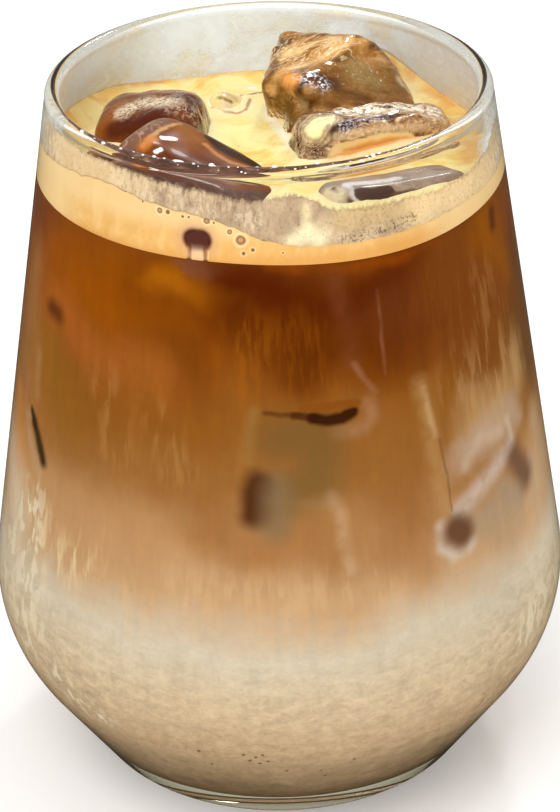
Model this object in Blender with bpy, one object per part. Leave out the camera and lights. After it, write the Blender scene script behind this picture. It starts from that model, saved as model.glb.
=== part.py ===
"""An iced latte in its stemless tumbler: the glass, the drink in layers, its foam, and the ice above it.

Metres, +Z up, standing on Z = 0 with the axis of the glass on Z and its shown side towards -Y.
"""

import math

import bmesh
import bpy
from mathutils import Euler, Vector, noise

MM = 0.001

# Tumbler, outside. The wall's taper and the flank below it would meet at the shoulder corner.
GLASS_HEIGHT = 116.4 * MM
RIM_RADIUS = 34.5 * MM
SHOULDER_RADIUS = 48.6 * MM
SHOULDER_HEIGHT = 25.2 * MM
SHOULDER_FILLET = 28.2 * MM
FOOT_RADIUS = 31.5 * MM
FOOT_FILLET = 3.3 * MM

# Tumbler, inside
WALL = 1.9 * MM
FLANK_WALL = 2.8 * MM
FLOOR_HEIGHT = 6.0 * MM
FLOOR_FILLET = 7.0 * MM
RIM_BEAD = 1.15 * MM

# Levels of the drink, up the glass
MILK_TOP = 54.0 * MM
LATTE_TOP = 79.0 * MM
COFFEE_TOP = 102.0 * MM
FOAM_TOP = 104.7 * MM

# Where the foam clings to the wall: direction from the front towards +X in degrees, half width, height
FOAM_CLIMBS = {
    "left front": (-30, 42, 4.4 * MM),
    "left": (-95, 70, 2.8 * MM),
    "behind the tall ice": (151, 15, 5.5 * MM),
}
FOAM_DIP = (-168, 40, 1.1 * MM)
CLIMB_REACH = 4.5 * MM

# Touching pieces keep this gap, so no two of them meet
GAP = 0.3 * MM

# Ice that stands above the foam, each block a worn box: its middle across, along and above the foam, its size
# and its turn in degrees, how sharp its edges are, and the facets chipped off it, each with its direction
# from the front towards +X and its angle above level in degrees, and its distance from the middle
ICE = {
    "ice_tall": (
        (12.7, 17.1, -4.0), (23.5, 16.6, 27.0), (10, -3, -13), 18,
        ((47, 50, 9.9), (92, 30, 11.4), (-40, -22, 9.6), (26, -4, 10.0)),
    ),
    "ice_back_left": (
        (-17.2, 7.6, -3.8), (18.5, 14.8, 20.0), (2, -11, -18), 6, ((-60, 45, 11.6), (170, 50, 11.0)),
    ),
    "ice_front_left": ((-13.4, -12.2, -4.1), (24.0, 16.5, 20.5), (-5, 20, -27), 5, ()),
    "ice_right": (
        (15.3, 2.7, -4.0), (26.5, 7.4, 17.0), (0, 6, 23), 10, ((-60, 20, 14.4), (60, 45, 12.0)),
    ),
    "ice_front_right": ((18.0, -13.2, -6.6), (22.0, 9.0, 17.5), (-6, 3, 26), 8, ((20, 35, 8.2),)),
    "ice_tip": ((-7.2, 18.4, -3.8), (8.2, 8.2, 9.5), (26, 26, 18), 8, ()),
}
ICE_DENT = 0.35 * MM
ICE_DENT_SIZE = 8.0 * MM

SEGMENTS = 64
BEAD_STEPS = 6

# Grid lines over each side of a block of ice, from its middle to its edges, and the size of a small block
ICE_LINES = (-1.0, -0.85, -0.45, 0.0, 0.45, 0.85, 1.0)
SMALL_ICE_LINES = (-1.0, -0.6, 0.0, 0.6, 1.0)
SMALL_ICE = 10

# Colour, roughness, metallic and transmission of each piece
FINISHES = {
    "glass": ((0.93, 0.95, 0.93), 0.03, 0.0, 1.0),
    "milk_layer": ((0.74, 0.57, 0.37), 0.35, 0.0, 0.0),
    "latte_layer": ((0.42, 0.18, 0.045), 0.30, 0.0, 0.0),
    "coffee_layer": ((0.16, 0.042, 0.004), 0.25, 0.0, 0.0),
    "foam_layer": ((0.86, 0.62, 0.27), 0.60, 0.0, 0.0),
    "ice_tall": ((0.42, 0.24, 0.08), 0.10, 0.0, 0.4),
    "ice_back_left": ((0.22, 0.10, 0.055), 0.15, 0.0, 0.2),
    "ice_front_left": ((0.40, 0.19, 0.075), 0.15, 0.0, 0.1),
    "ice_right": ((0.50, 0.34, 0.18), 0.15, 0.0, 0.3),
    "ice_front_right": ((0.45, 0.33, 0.27), 0.12, 0.0, 0.3),
    "ice_tip": ((0.74, 0.58, 0.34), 0.30, 0.0, 0.1),
}


def rounded_corner(before, corner, after, radius, steps):
    """Points along the arc that rounds a corner of a profile."""
    corner = Vector(corner)
    to_before = (Vector(before) - corner).normalized()
    to_after = (Vector(after) - corner).normalized()
    half = to_before.angle(to_after) / 2
    centre = corner + (to_before + to_after).normalized() * (radius / math.sin(half))
    start = corner + to_before * (radius / math.tan(half)) - centre
    end = corner + to_after * (radius / math.tan(half)) - centre
    turn = math.atan2(start.x * end.y - start.y * end.x, start.dot(end))
    points = []
    for step in range(steps + 1):
        angle = turn * step / steps
        along = Vector((
            start.x * math.cos(angle) - start.y * math.sin(angle),
            start.x * math.sin(angle) + start.y * math.cos(angle),
        ))
        points.append(centre + along)
    return points


def shoulder_lines(wall, flank_wall):
    """Rim, shoulder and foot corners of the outline, moved in by the wall's thickness."""
    taper = math.atan2(SHOULDER_RADIUS - RIM_RADIUS, GLASS_HEIGHT - SHOULDER_HEIGHT)
    flank = math.atan2(SHOULDER_RADIUS - FOOT_RADIUS, SHOULDER_HEIGHT)
    rim_x = RIM_RADIUS - wall / math.cos(taper)
    foot_x = FOOT_RADIUS - flank_wall / math.cos(flank)
    height = (foot_x - rim_x - GLASS_HEIGHT * math.tan(taper)) / -(math.tan(taper) + math.tan(flank))
    shoulder = (foot_x + height * math.tan(flank), height)
    return (rim_x, GLASS_HEIGHT), shoulder, (foot_x, 0.0)


def outer_wall():
    """Outside of the glass from just under the rim down to the flat of the foot."""
    rim, shoulder, foot = shoulder_lines(0.0, 0.0)
    points = [Vector((rim[0] + 2 * RIM_BEAD * 0.155, GLASS_HEIGHT - 2 * RIM_BEAD))]
    points += rounded_corner(rim, shoulder, foot, SHOULDER_FILLET, 8)
    points += rounded_corner(shoulder, foot, (0.0, 0.0), FOOT_FILLET, 3)
    return points


def inner_wall(inset=0.0):
    """Inside of the glass from just under the rim down to the flat of its floor, moved in by inset."""
    rim, shoulder, foot = shoulder_lines(WALL + inset, FLANK_WALL + inset)
    floor = FLOOR_HEIGHT + inset
    flank = (shoulder[0] - foot[0]) / shoulder[1]
    corner = (foot[0] + floor * flank, floor)
    fillet = SHOULDER_FILLET - (WALL + FLANK_WALL) / 2 - inset
    points = [Vector((rim[0] + 2 * RIM_BEAD * 0.155, GLASS_HEIGHT - 2 * RIM_BEAD))]
    points += rounded_corner(rim, shoulder, foot, fillet, 8)
    points += rounded_corner(shoulder, corner, (0.0, floor), FLOOR_FILLET - inset, 4)
    return points


def rim_bead():
    """The fire-polished lip, over the wall from inside to outside."""
    middle = Vector((RIM_RADIUS - WALL / 2, GLASS_HEIGHT - RIM_BEAD))
    points = []
    for step in range(BEAD_STEPS + 1):
        angle = math.radians(195 - 210 * step / BEAD_STEPS)
        points.append(middle + RIM_BEAD * Vector((math.cos(angle), math.sin(angle))))
    return points


def radius_at(profile, height):
    """Radius of a falling profile at a height."""
    for above, below in zip(profile, profile[1:]):
        if above.y >= height >= below.y and above.y > below.y:
            share = (above.y - height) / (above.y - below.y)
            return above.x + share * (below.x - above.x)
    raise ValueError("height outside the profile")


def between_levels(profile, low, high):
    """A layer's outline from the axis at its foot, up along the wall, to the axis at its top."""
    wall = [point for point in reversed(profile) if low < point.y < high]
    points = [Vector((0.0, low))]
    if low > profile[-1].y:
        points.append(Vector((radius_at(profile, low), low)))
    else:
        wall = [point for point in reversed(profile) if point.y < high]
    points += wall
    points += [Vector((radius_at(profile, high), high)), Vector((0.0, high))]
    return points


def finish(name):
    """The material of a piece, by the name of its finish."""
    colour, roughness, metallic, transmission = FINISHES[name]
    material = bpy.data.materials.new(name)
    material.use_nodes = True
    shader = material.node_tree.nodes["Principled BSDF"]
    shader.inputs["Base Color"].default_value = (*colour, 1.0)
    shader.inputs["Roughness"].default_value = roughness
    shader.inputs["Metallic"].default_value = metallic
    shader.inputs["Transmission Weight"].default_value = transmission
    return material


def solid(name, mesh_builder, material):
    """An object with faces out and smooth shading, from a bmesh."""
    bmesh.ops.remove_doubles(mesh_builder, verts=mesh_builder.verts, dist=0.001 * MM)
    bmesh.ops.dissolve_degenerate(mesh_builder, edges=mesh_builder.edges, dist=0.001 * MM)
    bmesh.ops.recalc_face_normals(mesh_builder, faces=mesh_builder.faces)
    mesh = bpy.data.meshes.new(name)
    mesh_builder.to_mesh(mesh)
    mesh_builder.free()
    mesh.shade_smooth()
    mesh.set_sharp_from_angle(angle=math.radians(35))
    mesh.materials.append(material)
    piece = bpy.data.objects.new(name, mesh)
    bpy.context.scene.collection.objects.link(piece)
    return piece


def turned(profile):
    """A bmesh turned round Z from a profile whose ends lie on the axis."""
    shape = bmesh.new()
    points = [shape.verts.new((point.x, 0.0, point.y)) for point in profile]
    edges = [shape.edges.new(pair) for pair in zip(points, points[1:])]
    bmesh.ops.spin(
        shape,
        geom=points + edges,
        axis=(0, 0, 1),
        cent=(0, 0, 0),
        steps=SEGMENTS,
        angle=2 * math.pi,
    )
    return shape


def glass():
    bottom_centre = Vector((0.0, 0.0))
    floor_centre = Vector((0.0, FLOOR_HEIGHT))
    profile = [floor_centre, *reversed(inner_wall()), *rim_bead(), *outer_wall(), bottom_centre]
    return solid("glass", turned(profile), finish("glass"))


def layer(name, low, high):
    profile = between_levels(inner_wall(inset=GAP), low, high)
    return solid(name, turned(profile), finish(name))


def bump(direction, middle, half_width):
    """A smooth hump of height 1 round a direction, both in degrees."""
    apart = abs((direction - middle + 180) % 360 - 180)
    if apart > half_width:
        return 0.0
    return 0.5 + 0.5 * math.cos(math.pi * apart / half_width)


def foam_height(x, y):
    """Top of the foam over a point: it clings to the wall in places and dips at the back."""
    direction = math.degrees(math.atan2(x, -y))
    wall = radius_at(inner_wall(inset=GAP), FOAM_TOP)
    near_wall = max(0.0, 1 - max(0.0, wall - math.hypot(x, y)) / CLIMB_REACH) ** 2
    climb = sum(tall * bump(direction, middle, wide) for middle, wide, tall in FOAM_CLIMBS.values())
    middle, wide, depth = FOAM_DIP
    dip = depth * bump(direction, middle, wide) * min(1.0, math.hypot(x, y) / wall) ** 2
    return FOAM_TOP + near_wall * climb - dip


def foam():
    """The foam's disc, with its top and edge raised to follow foam_height."""
    low = COFFEE_TOP + GAP / 2
    wall = inner_wall(inset=GAP)
    edge = radius_at(wall, FOAM_TOP)
    rings = [edge - CLIMB_REACH * share for share in (0.0, 0.3, 0.65, 1.1)]
    rings += [edge * 0.62, edge * 0.3, 0.0]
    profile = [Vector((0.0, low)), Vector((radius_at(wall, low), low))]
    profile += [Vector((radius, FOAM_TOP)) for radius in rings]
    shape = turned(profile)
    for vertex in shape.verts:
        if vertex.co.z < (low + FOAM_TOP) / 2:
            continue
        outermost = math.hypot(vertex.co.x, vertex.co.y) > edge - 0.1 * MM
        vertex.co.z = foam_height(vertex.co.x, vertex.co.y)
        if outermost:
            grow = radius_at(wall, vertex.co.z) / math.hypot(vertex.co.x, vertex.co.y)
            vertex.co.x *= grow
            vertex.co.y *= grow
    return solid("foam_layer", shape, finish("foam_layer"))


def ice_facets(name, grow):
    """Outward directions of a block's faces, with their distances from its middle."""
    _, size, turn, _, chips = ICE[name]
    rotation = Euler([math.radians(angle) for angle in turn], "XYZ").to_matrix()
    facets = []
    for axis in range(3):
        for side in (-1, 1):
            facets.append((rotation.col[axis] * side, size[axis] * MM / 2 + grow))
    for around, above, distance in chips:
        level = math.cos(math.radians(above))
        outward = Vector((
            math.sin(math.radians(around)) * level,
            -math.cos(math.radians(around)) * level,
            math.sin(math.radians(above)),
        ))
        facets.append((outward, distance * MM + grow))
    return facets


def ice_point(direction, facets, sharpness, seed):
    """Where the worn and dented surface of a block lies, in a direction from its middle."""
    crossing = sum(
        max(0.0, direction.dot(outward) / distance) ** sharpness for outward, distance in facets
    )
    place = direction * crossing ** (-1 / sharpness)
    dent = noise.noise(place / ICE_DENT_SIZE + Vector((seed * 7.3, seed * 3.1, seed * 5.7)))
    return place + direction * (ICE_DENT * dent)


def ice_block(name, number, grow=0.0):
    """One block of ice, or its cutter when grown."""
    middle, size, turn, sharpness, _ = ICE[name]
    facets = ice_facets(name, grow)
    rotation = Euler([math.radians(angle) for angle in turn], "XYZ").to_matrix()
    lines = ICE_LINES if size[0] > SMALL_ICE else SMALL_ICE_LINES
    shape = bmesh.new()
    for axis in range(3):
        across, along = (axis + 1) % 3, (axis + 2) % 3
        for side in (-1, 1):
            rows = []
            for u in lines:
                row = []
                for v in lines:
                    point = Vector((0.0, 0.0, 0.0))
                    point[axis], point[across], point[along] = side, u, v
                    direction = (rotation @ (point * Vector(size))).normalized()
                    row.append(shape.verts.new(ice_point(direction, facets, sharpness, number)))
                rows.append(row)
            for first, second in zip(rows, rows[1:]):
                for a, b, c, d in zip(first, first[1:], second[1:], second):
                    shape.faces.new((a, b, c, d) if side > 0 else (d, c, b, a))
    piece = solid(name + ("_cutter" if grow else ""), shape, finish(name))
    piece.location = Vector(middle) * MM + Vector((0.0, 0.0, FOAM_TOP))
    return piece


def drop_scraps(mesh):
    """Keeps only the largest connected body of a mesh."""
    shape = bmesh.new()
    shape.from_mesh(mesh)
    left, bodies = set(shape.verts), []
    while left:
        body, front = set(), [left.pop()]
        while front:
            vertex = front.pop()
            body.add(vertex)
            for edge in vertex.link_edges:
                other = edge.other_vert(vertex)
                if other in left:
                    left.discard(other)
                    front.append(other)
        bodies.append(body)
    bodies.sort(key=len)
    scraps = [vertex for body in bodies[:-1] for vertex in body]
    bmesh.ops.delete(shape, geom=scraps, context="VERTS")
    shape.to_mesh(mesh)
    shape.free()


def cut_round(piece, cutters):
    """Cuts the ice's places out of a layer, and leaves it one body."""
    for cutter in cutters:
        cut = piece.modifiers.new("Place of " + cutter.name, "BOOLEAN")
        cut.operation = "DIFFERENCE"
        cut.object = cutter
    graph = bpy.context.evaluated_depsgraph_get()
    mesh = bpy.data.meshes.new_from_object(piece.evaluated_get(graph))
    piece.modifiers.clear()
    drop_scraps(mesh)
    piece.data = mesh
    mesh.shade_smooth()
    mesh.set_sharp_from_angle(angle=math.radians(35))


def main():
    for leftover in list(bpy.data.objects):
        bpy.data.objects.remove(leftover, do_unlink=True)
    glass()
    layer("milk_layer", FLOOR_HEIGHT + GAP, MILK_TOP - GAP / 2)
    layer("latte_layer", MILK_TOP + GAP / 2, LATTE_TOP - GAP / 2)
    coffee = layer("coffee_layer", LATTE_TOP + GAP / 2, COFFEE_TOP - GAP / 2)
    top = foam()
    cutters = []
    for number, name in enumerate(ICE):
        ice_block(name, number)
        cutters.append(ice_block(name, number, grow=GAP))
    bpy.context.view_layer.update()
    for layer_piece in (coffee, top):
        cut_round(layer_piece, cutters)
    for cutter in cutters:
        bpy.data.objects.remove(cutter, do_unlink=True)


main()
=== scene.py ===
"""Iced latte in its stemless tumbler: the looks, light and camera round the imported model.

Lengths are millimetres until a mesh is made. "Around" is the direction from the glass's axis in degrees:
0 is the side that faces the camera, and it grows towards +X. Colours are screen values from 0 to 255.
"""

import math
from functools import cached_property

import bmesh
import bpy
import numpy as np
from mathutils import Euler, Matrix, Vector


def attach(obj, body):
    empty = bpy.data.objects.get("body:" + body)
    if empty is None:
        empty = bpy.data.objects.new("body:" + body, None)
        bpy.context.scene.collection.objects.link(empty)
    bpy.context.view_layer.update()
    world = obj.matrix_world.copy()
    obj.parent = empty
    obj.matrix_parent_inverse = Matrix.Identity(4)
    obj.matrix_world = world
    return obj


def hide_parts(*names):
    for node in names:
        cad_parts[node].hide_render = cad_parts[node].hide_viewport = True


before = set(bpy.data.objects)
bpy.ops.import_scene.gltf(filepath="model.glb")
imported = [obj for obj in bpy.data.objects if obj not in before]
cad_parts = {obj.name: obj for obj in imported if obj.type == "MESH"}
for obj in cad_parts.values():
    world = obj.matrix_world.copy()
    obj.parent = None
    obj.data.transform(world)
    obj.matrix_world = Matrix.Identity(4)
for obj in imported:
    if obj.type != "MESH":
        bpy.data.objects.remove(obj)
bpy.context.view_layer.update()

MM = 0.001
SEED = 7

# Tumbler, the same as the solids
GLASS_HEIGHT, RIM_RADIUS = 116.4, 34.5
SHOULDER_RADIUS, SHOULDER_HEIGHT, SHOULDER_FILLET = 48.6, 25.2, 28.2
FOOT_RADIUS, FOOT_FILLET = 31.5, 3.3
WALL, FLANK_WALL, FLOOR_HEIGHT, FLOOR_FILLET, RIM_BEAD = 1.9, 2.8, 6.0, 7.0, 1.15

# How far the wall leans out under the lip, and how finely its curves are cut
LEAN = 0.155
SHOULDER_STEPS, FOOT_STEPS, FLOOR_STEPS, BEAD_STEPS, TURN_STEPS = 28, 10, 14, 20, 256

# What fills the glass reaches this far into its wall, and what dries on it a little less
INTO_WALL, FILM_INTO_WALL = 0.25, 0.12
DRINK_TOP, FOAM_TOP = 102.0, 104.7

# White light from all round, and how bright it looks in what mirrors it
WORLD_LIGHT, WORLD_IN_GLOSS = 0.8, 0.3

# The ice that stands out: middle across, along and above the foam, size, turn in degrees, sharpness of the
# edges, and the chipped facets' direction around, angle above level and distance. It is as the solids have
# it, but for a rounder tip and one more melted corner at the back left.
ICE = {
    "ice_tall": (
        (12.7, 17.1, -4), (23.5, 16.6, 27), (10, -3, -13), 18,
        ((47, 50, 9.9), (92, 30, 11.4), (-40, -22, 9.6), (26, -4, 10)),
    ),
    "ice_back_left": (
        (-17.2, 7.6, -3.8), (18.5, 14.8, 20), (2, -11, -18), 6,
        ((-60, 45, 11.6), (170, 50, 11), (92, 8, 9)),
    ),
    "ice_front_left": ((-13.4, -12.2, -4.1), (24.0, 16.5, 20.5), (-5, 20, -27), 5, ()),
    "ice_right": (
        (15.3, 2.7, -4), (26.5, 7.4, 17), (0, 6, 23), 10, ((-60, 20, 14.4), (60, 45, 12)),
    ),
    "ice_front_right": ((18.0, -13.2, -6.6), (22.0, 9.0, 17.5), (-6, 3, 26), 8, ((20, 35, 8.2),)),
    "ice_tip": ((-7.2, 18.4, -3.8), (8.2, 8.2, 9.5), (26, 26, 18), 4, ()),
}

# Where the foam ends on the wall: around and height
FOAM_EDGE = [
    (-180, 103.9), (-161, 103.6), (-145, 104.9), (-132, 106.6), (-117, 107.4), (-100, 107.8), (-75, 108.4),
    (-60, 109.6), (-45, 110.8), (-33, 109.6), (-21, 108.9), (-15, 108.5), (-9, 107.4), (-6, 106.4),
    (-2, 105.4), (5, 104.4), (12, 104), (24, 103.8), (60, 104.2), (90, 104.6), (121, 104.8),
    (128, 105.3), (137, 107.4), (143, 109.6), (150, 110.4), (158, 109.4), (166, 106.4), (172, 104.4),
    (180, 103.9),
]
CLIMB_REACH = 4.5

# Where a block runs out under the foam: direction around and above, distance from its middle, and spread in
# degrees
ICE_FEET = {"ice_tall": (-37, 18, 16.8, 30), "ice_right": (-47, 19, 13.8, 24)}

# The dried film that the foam has left on the front wall: its ends, and its top edge by around and height
FILM_ENDS = (-88, 92)
FILM_EDGE = [
    (-66, 113.9), (-48, 113.8), (-34, 113.4), (-29, 112.9), (-21, 112.7), (-12, 111.9), (-4, 111.5),
    (1, 111.8), (6, 112.4), (11, 111), (15, 109.5), (24, 109), (36, 108.9), (45, 108.3), (57, 108.3),
    (68, 109), (78, 111), (92, 111.4),
]

# The haze round the rest of the wall: its ends, which lie over the film's, and the height of its top
HAZE_ENDS, HAZE_TOP = (56, 304), 116.2

# Coffee on the rim: around, and where its outer edge lies in degrees over the bead from the outside
WET_RIM = [
    (-78, 114), (-62, 92), (-50, 72), (-38, 48), (-25, 32), (-12, 34), (0, 48), (12, 68), (24, 82), (34, 90),
    (46, 98), (54, 112),
]

# Drops on the rim: around, degrees over the bead, radius and how much longer than wide. Below them are the
# number of tiny ones and the limits of the same four values.
RIM_DROPS = [
    (-56, 84, 0.26, 1.6), (-46.5, 76, 0.24, 1.8), (-40.5, 84, 0.22, 1.3), (-33.5, 86, 0.2, 1.2),
    (-30.4, 96, 0.26, 1.4), (-27.7, 104, 0.2, 1.3), (-23.6, 98, 0.24, 4.2), (-19.4, 90, 0.2, 1.2),
    (-14.8, 96, 0.34, 1.4), (-10.4, 86, 0.18, 1), (-8.1, 90, 0.16, 1), (1, 98, 0.32, 1.4),
    (3.4, 92, 0.14, 1), (11.7, 104, 0.28, 1.3), (24.8, 100, 0.26, 1.2), (26.4, 92, 0.34, 1.1),
    (28.4, 104, 0.24, 1.6),
]
TINY_DROPS, TINY_DROP_LIMITS = 44, ((-64, 46), (40, 112), (0.04, 0.13), (1, 2.6))

# The pierced bubble in the foam at the front wall: its place, half size and depth, and the two drips that run
# down from it: how far across and below it they are, their half size and their share of its depth
HOLE, HOLE_HALF, HOLE_DEPTH = (-18.2, 105.1), (1.95, 1.45), 0.5
DRIPS_ACROSS, DRIP_BELOW, DRIP_HALF, DRIP_SHARE = (-1.2, 1.35), 2.1, (0.42, 1.5), 0.6

# Small bubbles in the foam at the front wall: around, height and radius
WALL_BUBBLES = [
    (-28.2, 108.6, 0.5), (-25.9, 108.6, 0.35), (-22.1, 108.3, 0.25), (-20.5, 108.3, 0.22),
    (-15.9, 108.1, 0.5), (-14.1, 107.9, 0.2), (-10.2, 106.7, 0.42), (-7.5, 105.5, 0.75), (-4.7, 104.1, 0.3),
    (-6.9, 103.5, 0.32), (-42.2, 111, 0.4), (-38.5, 110.4, 0.35), (-33, 109.4, 0.2), (2.5, 103.6, 0.18),
]


def srgb(*colour):
    """The scene's linear colour for a screen colour."""
    values = (value / 255 for value in colour)
    return (*(v / 12.92 if v <= 0.04045 else ((v + 0.055) / 1.055) ** 2.4 for v in values), 1.0)


# Shapes


def smooth_step(value, low, high):
    share = np.clip((value - low) / (high - low), 0, 1)
    return share * share * (3 - 2 * share)


class Lumps:
    """Smooth noise over points in millimetres: octaves of randomly turned waves."""

    def __init__(self, seed, size, octaves=3, waves=14):
        draws = np.random.default_rng(seed)
        self.terms = []
        for octave in range(octaves):
            direction = draws.normal(size=(waves, 3))
            direction /= np.linalg.norm(direction, axis=1, keepdims=True)
            speed = 2 * math.pi / size * 2**octave * draws.uniform(0.6, 1.4, (waves, 1))
            self.terms.append((direction * speed, draws.uniform(0, 2 * math.pi, waves), 0.5**octave))

    def __call__(self, points):
        total = 0
        for waves, phase, weight in self.terms:
            total = total + weight * np.sin(points @ waves.T + phase).sum(axis=-1)
        return total / math.sqrt(len(self.terms[0][1]))


def rounded_corner(before, corner, after, radius, steps):
    """Points along the arc that rounds a corner of a profile."""
    before, corner, after = (np.array(point, float) for point in (before, corner, after))
    to_before = (before - corner) / np.linalg.norm(before - corner)
    to_after = (after - corner) / np.linalg.norm(after - corner)
    half = math.acos(to_before @ to_after) / 2
    middle = (to_before + to_after) / np.linalg.norm(to_before + to_after)
    centre = corner + middle * radius / math.sin(half)
    start = corner + to_before * radius / math.tan(half) - centre
    end = corner + to_after * radius / math.tan(half) - centre
    turn = math.atan2(start[0] * end[1] - start[1] * end[0], start @ end)
    angles = turn * np.linspace(0, 1, steps + 1)
    across = centre[0] + start[0] * np.cos(angles) - start[1] * np.sin(angles)
    up = centre[1] + start[0] * np.sin(angles) + start[1] * np.cos(angles)
    return list(zip(across, up))


def shoulder_lines(wall, flank_wall):
    """Rim, shoulder and foot corners of the outline, moved in by the wall's thickness."""
    taper = math.atan2(SHOULDER_RADIUS - RIM_RADIUS, GLASS_HEIGHT - SHOULDER_HEIGHT)
    flank = math.atan2(SHOULDER_RADIUS - FOOT_RADIUS, SHOULDER_HEIGHT)
    rim_x = RIM_RADIUS - wall / math.cos(taper)
    foot_x = FOOT_RADIUS - flank_wall / math.cos(flank)
    height = (foot_x - rim_x - GLASS_HEIGHT * math.tan(taper)) / -(math.tan(taper) + math.tan(flank))
    return (rim_x, GLASS_HEIGHT), (foot_x + height * math.tan(flank), height), (foot_x, 0.0)


def wall_start(rim):
    """Where the wall begins, under the bead of its lip."""
    return rim[0] + 2 * RIM_BEAD * LEAN, GLASS_HEIGHT - 2 * RIM_BEAD


def outer_wall():
    """Outside of the glass from just under the rim down to the flat of the foot."""
    rim, shoulder, foot = shoulder_lines(0.0, 0.0)
    side = rounded_corner(rim, shoulder, foot, SHOULDER_FILLET, SHOULDER_STEPS)
    return [wall_start(rim), *side, *rounded_corner(shoulder, foot, (0.0, 0.0), FOOT_FILLET, FOOT_STEPS)]


def inner_wall(inset=0.0):
    """Inside of the glass, from just under the rim down to its floor, moved in by inset."""
    rim, shoulder, foot = shoulder_lines(WALL + inset, FLANK_WALL + inset)
    floor = FLOOR_HEIGHT + inset
    corner = (foot[0] + floor * (shoulder[0] - foot[0]) / shoulder[1], floor)
    fillet = SHOULDER_FILLET - (WALL + FLANK_WALL) / 2 - inset
    side = rounded_corner(rim, shoulder, foot, fillet, SHOULDER_STEPS)
    floor_edge = rounded_corner(shoulder, corner, (0.0, floor), FLOOR_FILLET - inset, FLOOR_STEPS)
    return [wall_start(rim), *side, *floor_edge]


def rim_bead():
    """The fire-polished lip, over the wall from inside to outside."""
    angles = np.radians(195 - 210 * np.linspace(0, 1, BEAD_STEPS + 1))
    across = RIM_RADIUS - WALL / 2 + RIM_BEAD * np.cos(angles)
    return list(zip(across, GLASS_HEIGHT - RIM_BEAD + RIM_BEAD * np.sin(angles)))


def round_axis(radius, around, height):
    """Points at a radius from the glass's axis in a direction, at a height."""
    angle = np.radians(around)
    return np.stack(np.broadcast_arrays(radius * np.sin(angle), -radius * np.cos(angle), height), -1)


def wall_radius(height, inset=-INTO_WALL):
    """Radius of the inside of the glass at a height, up to the top of its bead, moved in by inset."""
    angles = np.radians(np.arange(120, 196, 15))
    bead = np.column_stack([np.cos(angles), np.sin(angles)]) * (RIM_BEAD + inset)
    bead += (RIM_RADIUS - WALL / 2, GLASS_HEIGHT - RIM_BEAD)
    profile = np.vstack([bead, inner_wall(inset)])[::-1]
    return np.interp(height, profile[:, 1], profile[:, 0])


def on_wall(around, height, inset=-INTO_WALL):
    """The point of the inside of the glass in a direction at a height."""
    return round_axis(wall_radius(height, inset), around, height)


def edge_height(table, around, spread=4.0, samples=9):
    """Height of an edge in a direction, with the table's corners smoothed over a spread of degrees."""
    table = np.array(table)
    near = np.asarray(around)[..., None] + np.linspace(-spread, spread, samples)
    return np.interp((near + 180) % 360 - 180, table[:, 0], table[:, 1]).mean(axis=-1)


def drink_top(around):
    """Where the drink ends and the foam starts, a little lower on the front right."""
    lowest, half_width, depth = 32, 50, 0.8
    apart = np.abs((np.asarray(around) - lowest + 180) % 360 - 180)
    return DRINK_TOP - depth * (0.5 + 0.5 * np.cos(np.pi * np.minimum(apart / half_width, 1)))


def piece_from(name, points, faces, material):
    """A smooth closed mesh from points in millimetres, with its faces out."""
    mesh = bpy.data.meshes.new(name)
    mesh.from_pydata((np.asarray(points, float) * MM).tolist(), [], [list(map(int, face)) for face in faces])
    solid = bmesh.new()
    solid.from_mesh(mesh)
    bmesh.ops.remove_doubles(solid, verts=solid.verts, dist=0.001 * MM)
    bmesh.ops.recalc_face_normals(solid, faces=solid.faces)
    solid.to_mesh(mesh)
    solid.free()
    mesh.shade_smooth()
    mesh.materials.append(material)
    piece = bpy.data.objects.new(name, mesh)
    bpy.context.scene.collection.objects.link(piece)
    return piece


def vertices_of(piece):
    """Where a piece's points lie, in millimetres."""
    return np.array([vertex.co for vertex in piece.data.vertices]) / MM


def paint_values(piece, name, values):
    """Gives each of a piece's points a value that its material can read."""
    piece.data.attributes.new(name, "FLOAT", "POINT").data.foreach_set("value", values.astype(np.float32))


def grid_faces(rows, columns, closed=True):
    """Quads of a grid of points held row by row; closed joins the last column to the first."""
    across = np.arange(columns if closed else columns - 1)
    beside = (across + 1) % columns
    start = np.arange(rows - 1)[:, None] * columns
    quads = np.stack([start + across, start + beside, start + columns + beside, start + columns + across], -1)
    return quads.reshape(-1, 4)


def turned(profile, segments):
    """Points and faces of a solid turned round Z from a profile whose ends lie on the axis."""
    rings = np.array(profile[1:-1], float)
    points = round_axis(rings[:, :1], 360 * np.arange(segments) / segments, rings[:, 1:]).reshape(-1, 3)
    return capped(points, len(rings), segments, profile[0][1], profile[-1][1])


def capped(points, rows, columns, first_height, last_height):
    """Closes rings of points with a point on the axis at each end."""
    faces, end = list(grid_faces(rows, columns)), (rows - 1) * columns
    first, last = len(points), len(points) + 1
    for step in range(columns):
        beside = (step + 1) % columns
        faces += [(first, beside, step), (last, end + step, end + beside)]
    return np.vstack([points, [(0, 0, first_height), (0, 0, last_height)]]), faces


def direction_to(around, above):
    """Direction of length 1 towards degrees around and above level."""
    angle, rise = math.radians(around), math.radians(above)
    return np.array((math.sin(angle) * math.cos(rise), -math.cos(angle) * math.cos(rise), math.sin(rise)))


def ice_turn(name):
    """Matrix that turns a block."""
    return np.array(Euler([math.radians(angle) for angle in ICE[name][2]], "XYZ").to_matrix())


def ice_facets(name):
    """Outward directions of a block's faces, and their distances from its middle."""
    size, chips, rotation = ICE[name][1], ICE[name][4], ice_turn(name)
    outward = [rotation[:, axis] * side for axis in range(3) for side in (-1, 1)]
    outward += [direction_to(around, above) for around, above, _ in chips]
    distances = [size[axis] / 2 for axis in range(3) for _ in (-1, 1)] + [distance for *_, distance in chips]
    return np.array(outward), np.array(distances)


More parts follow.
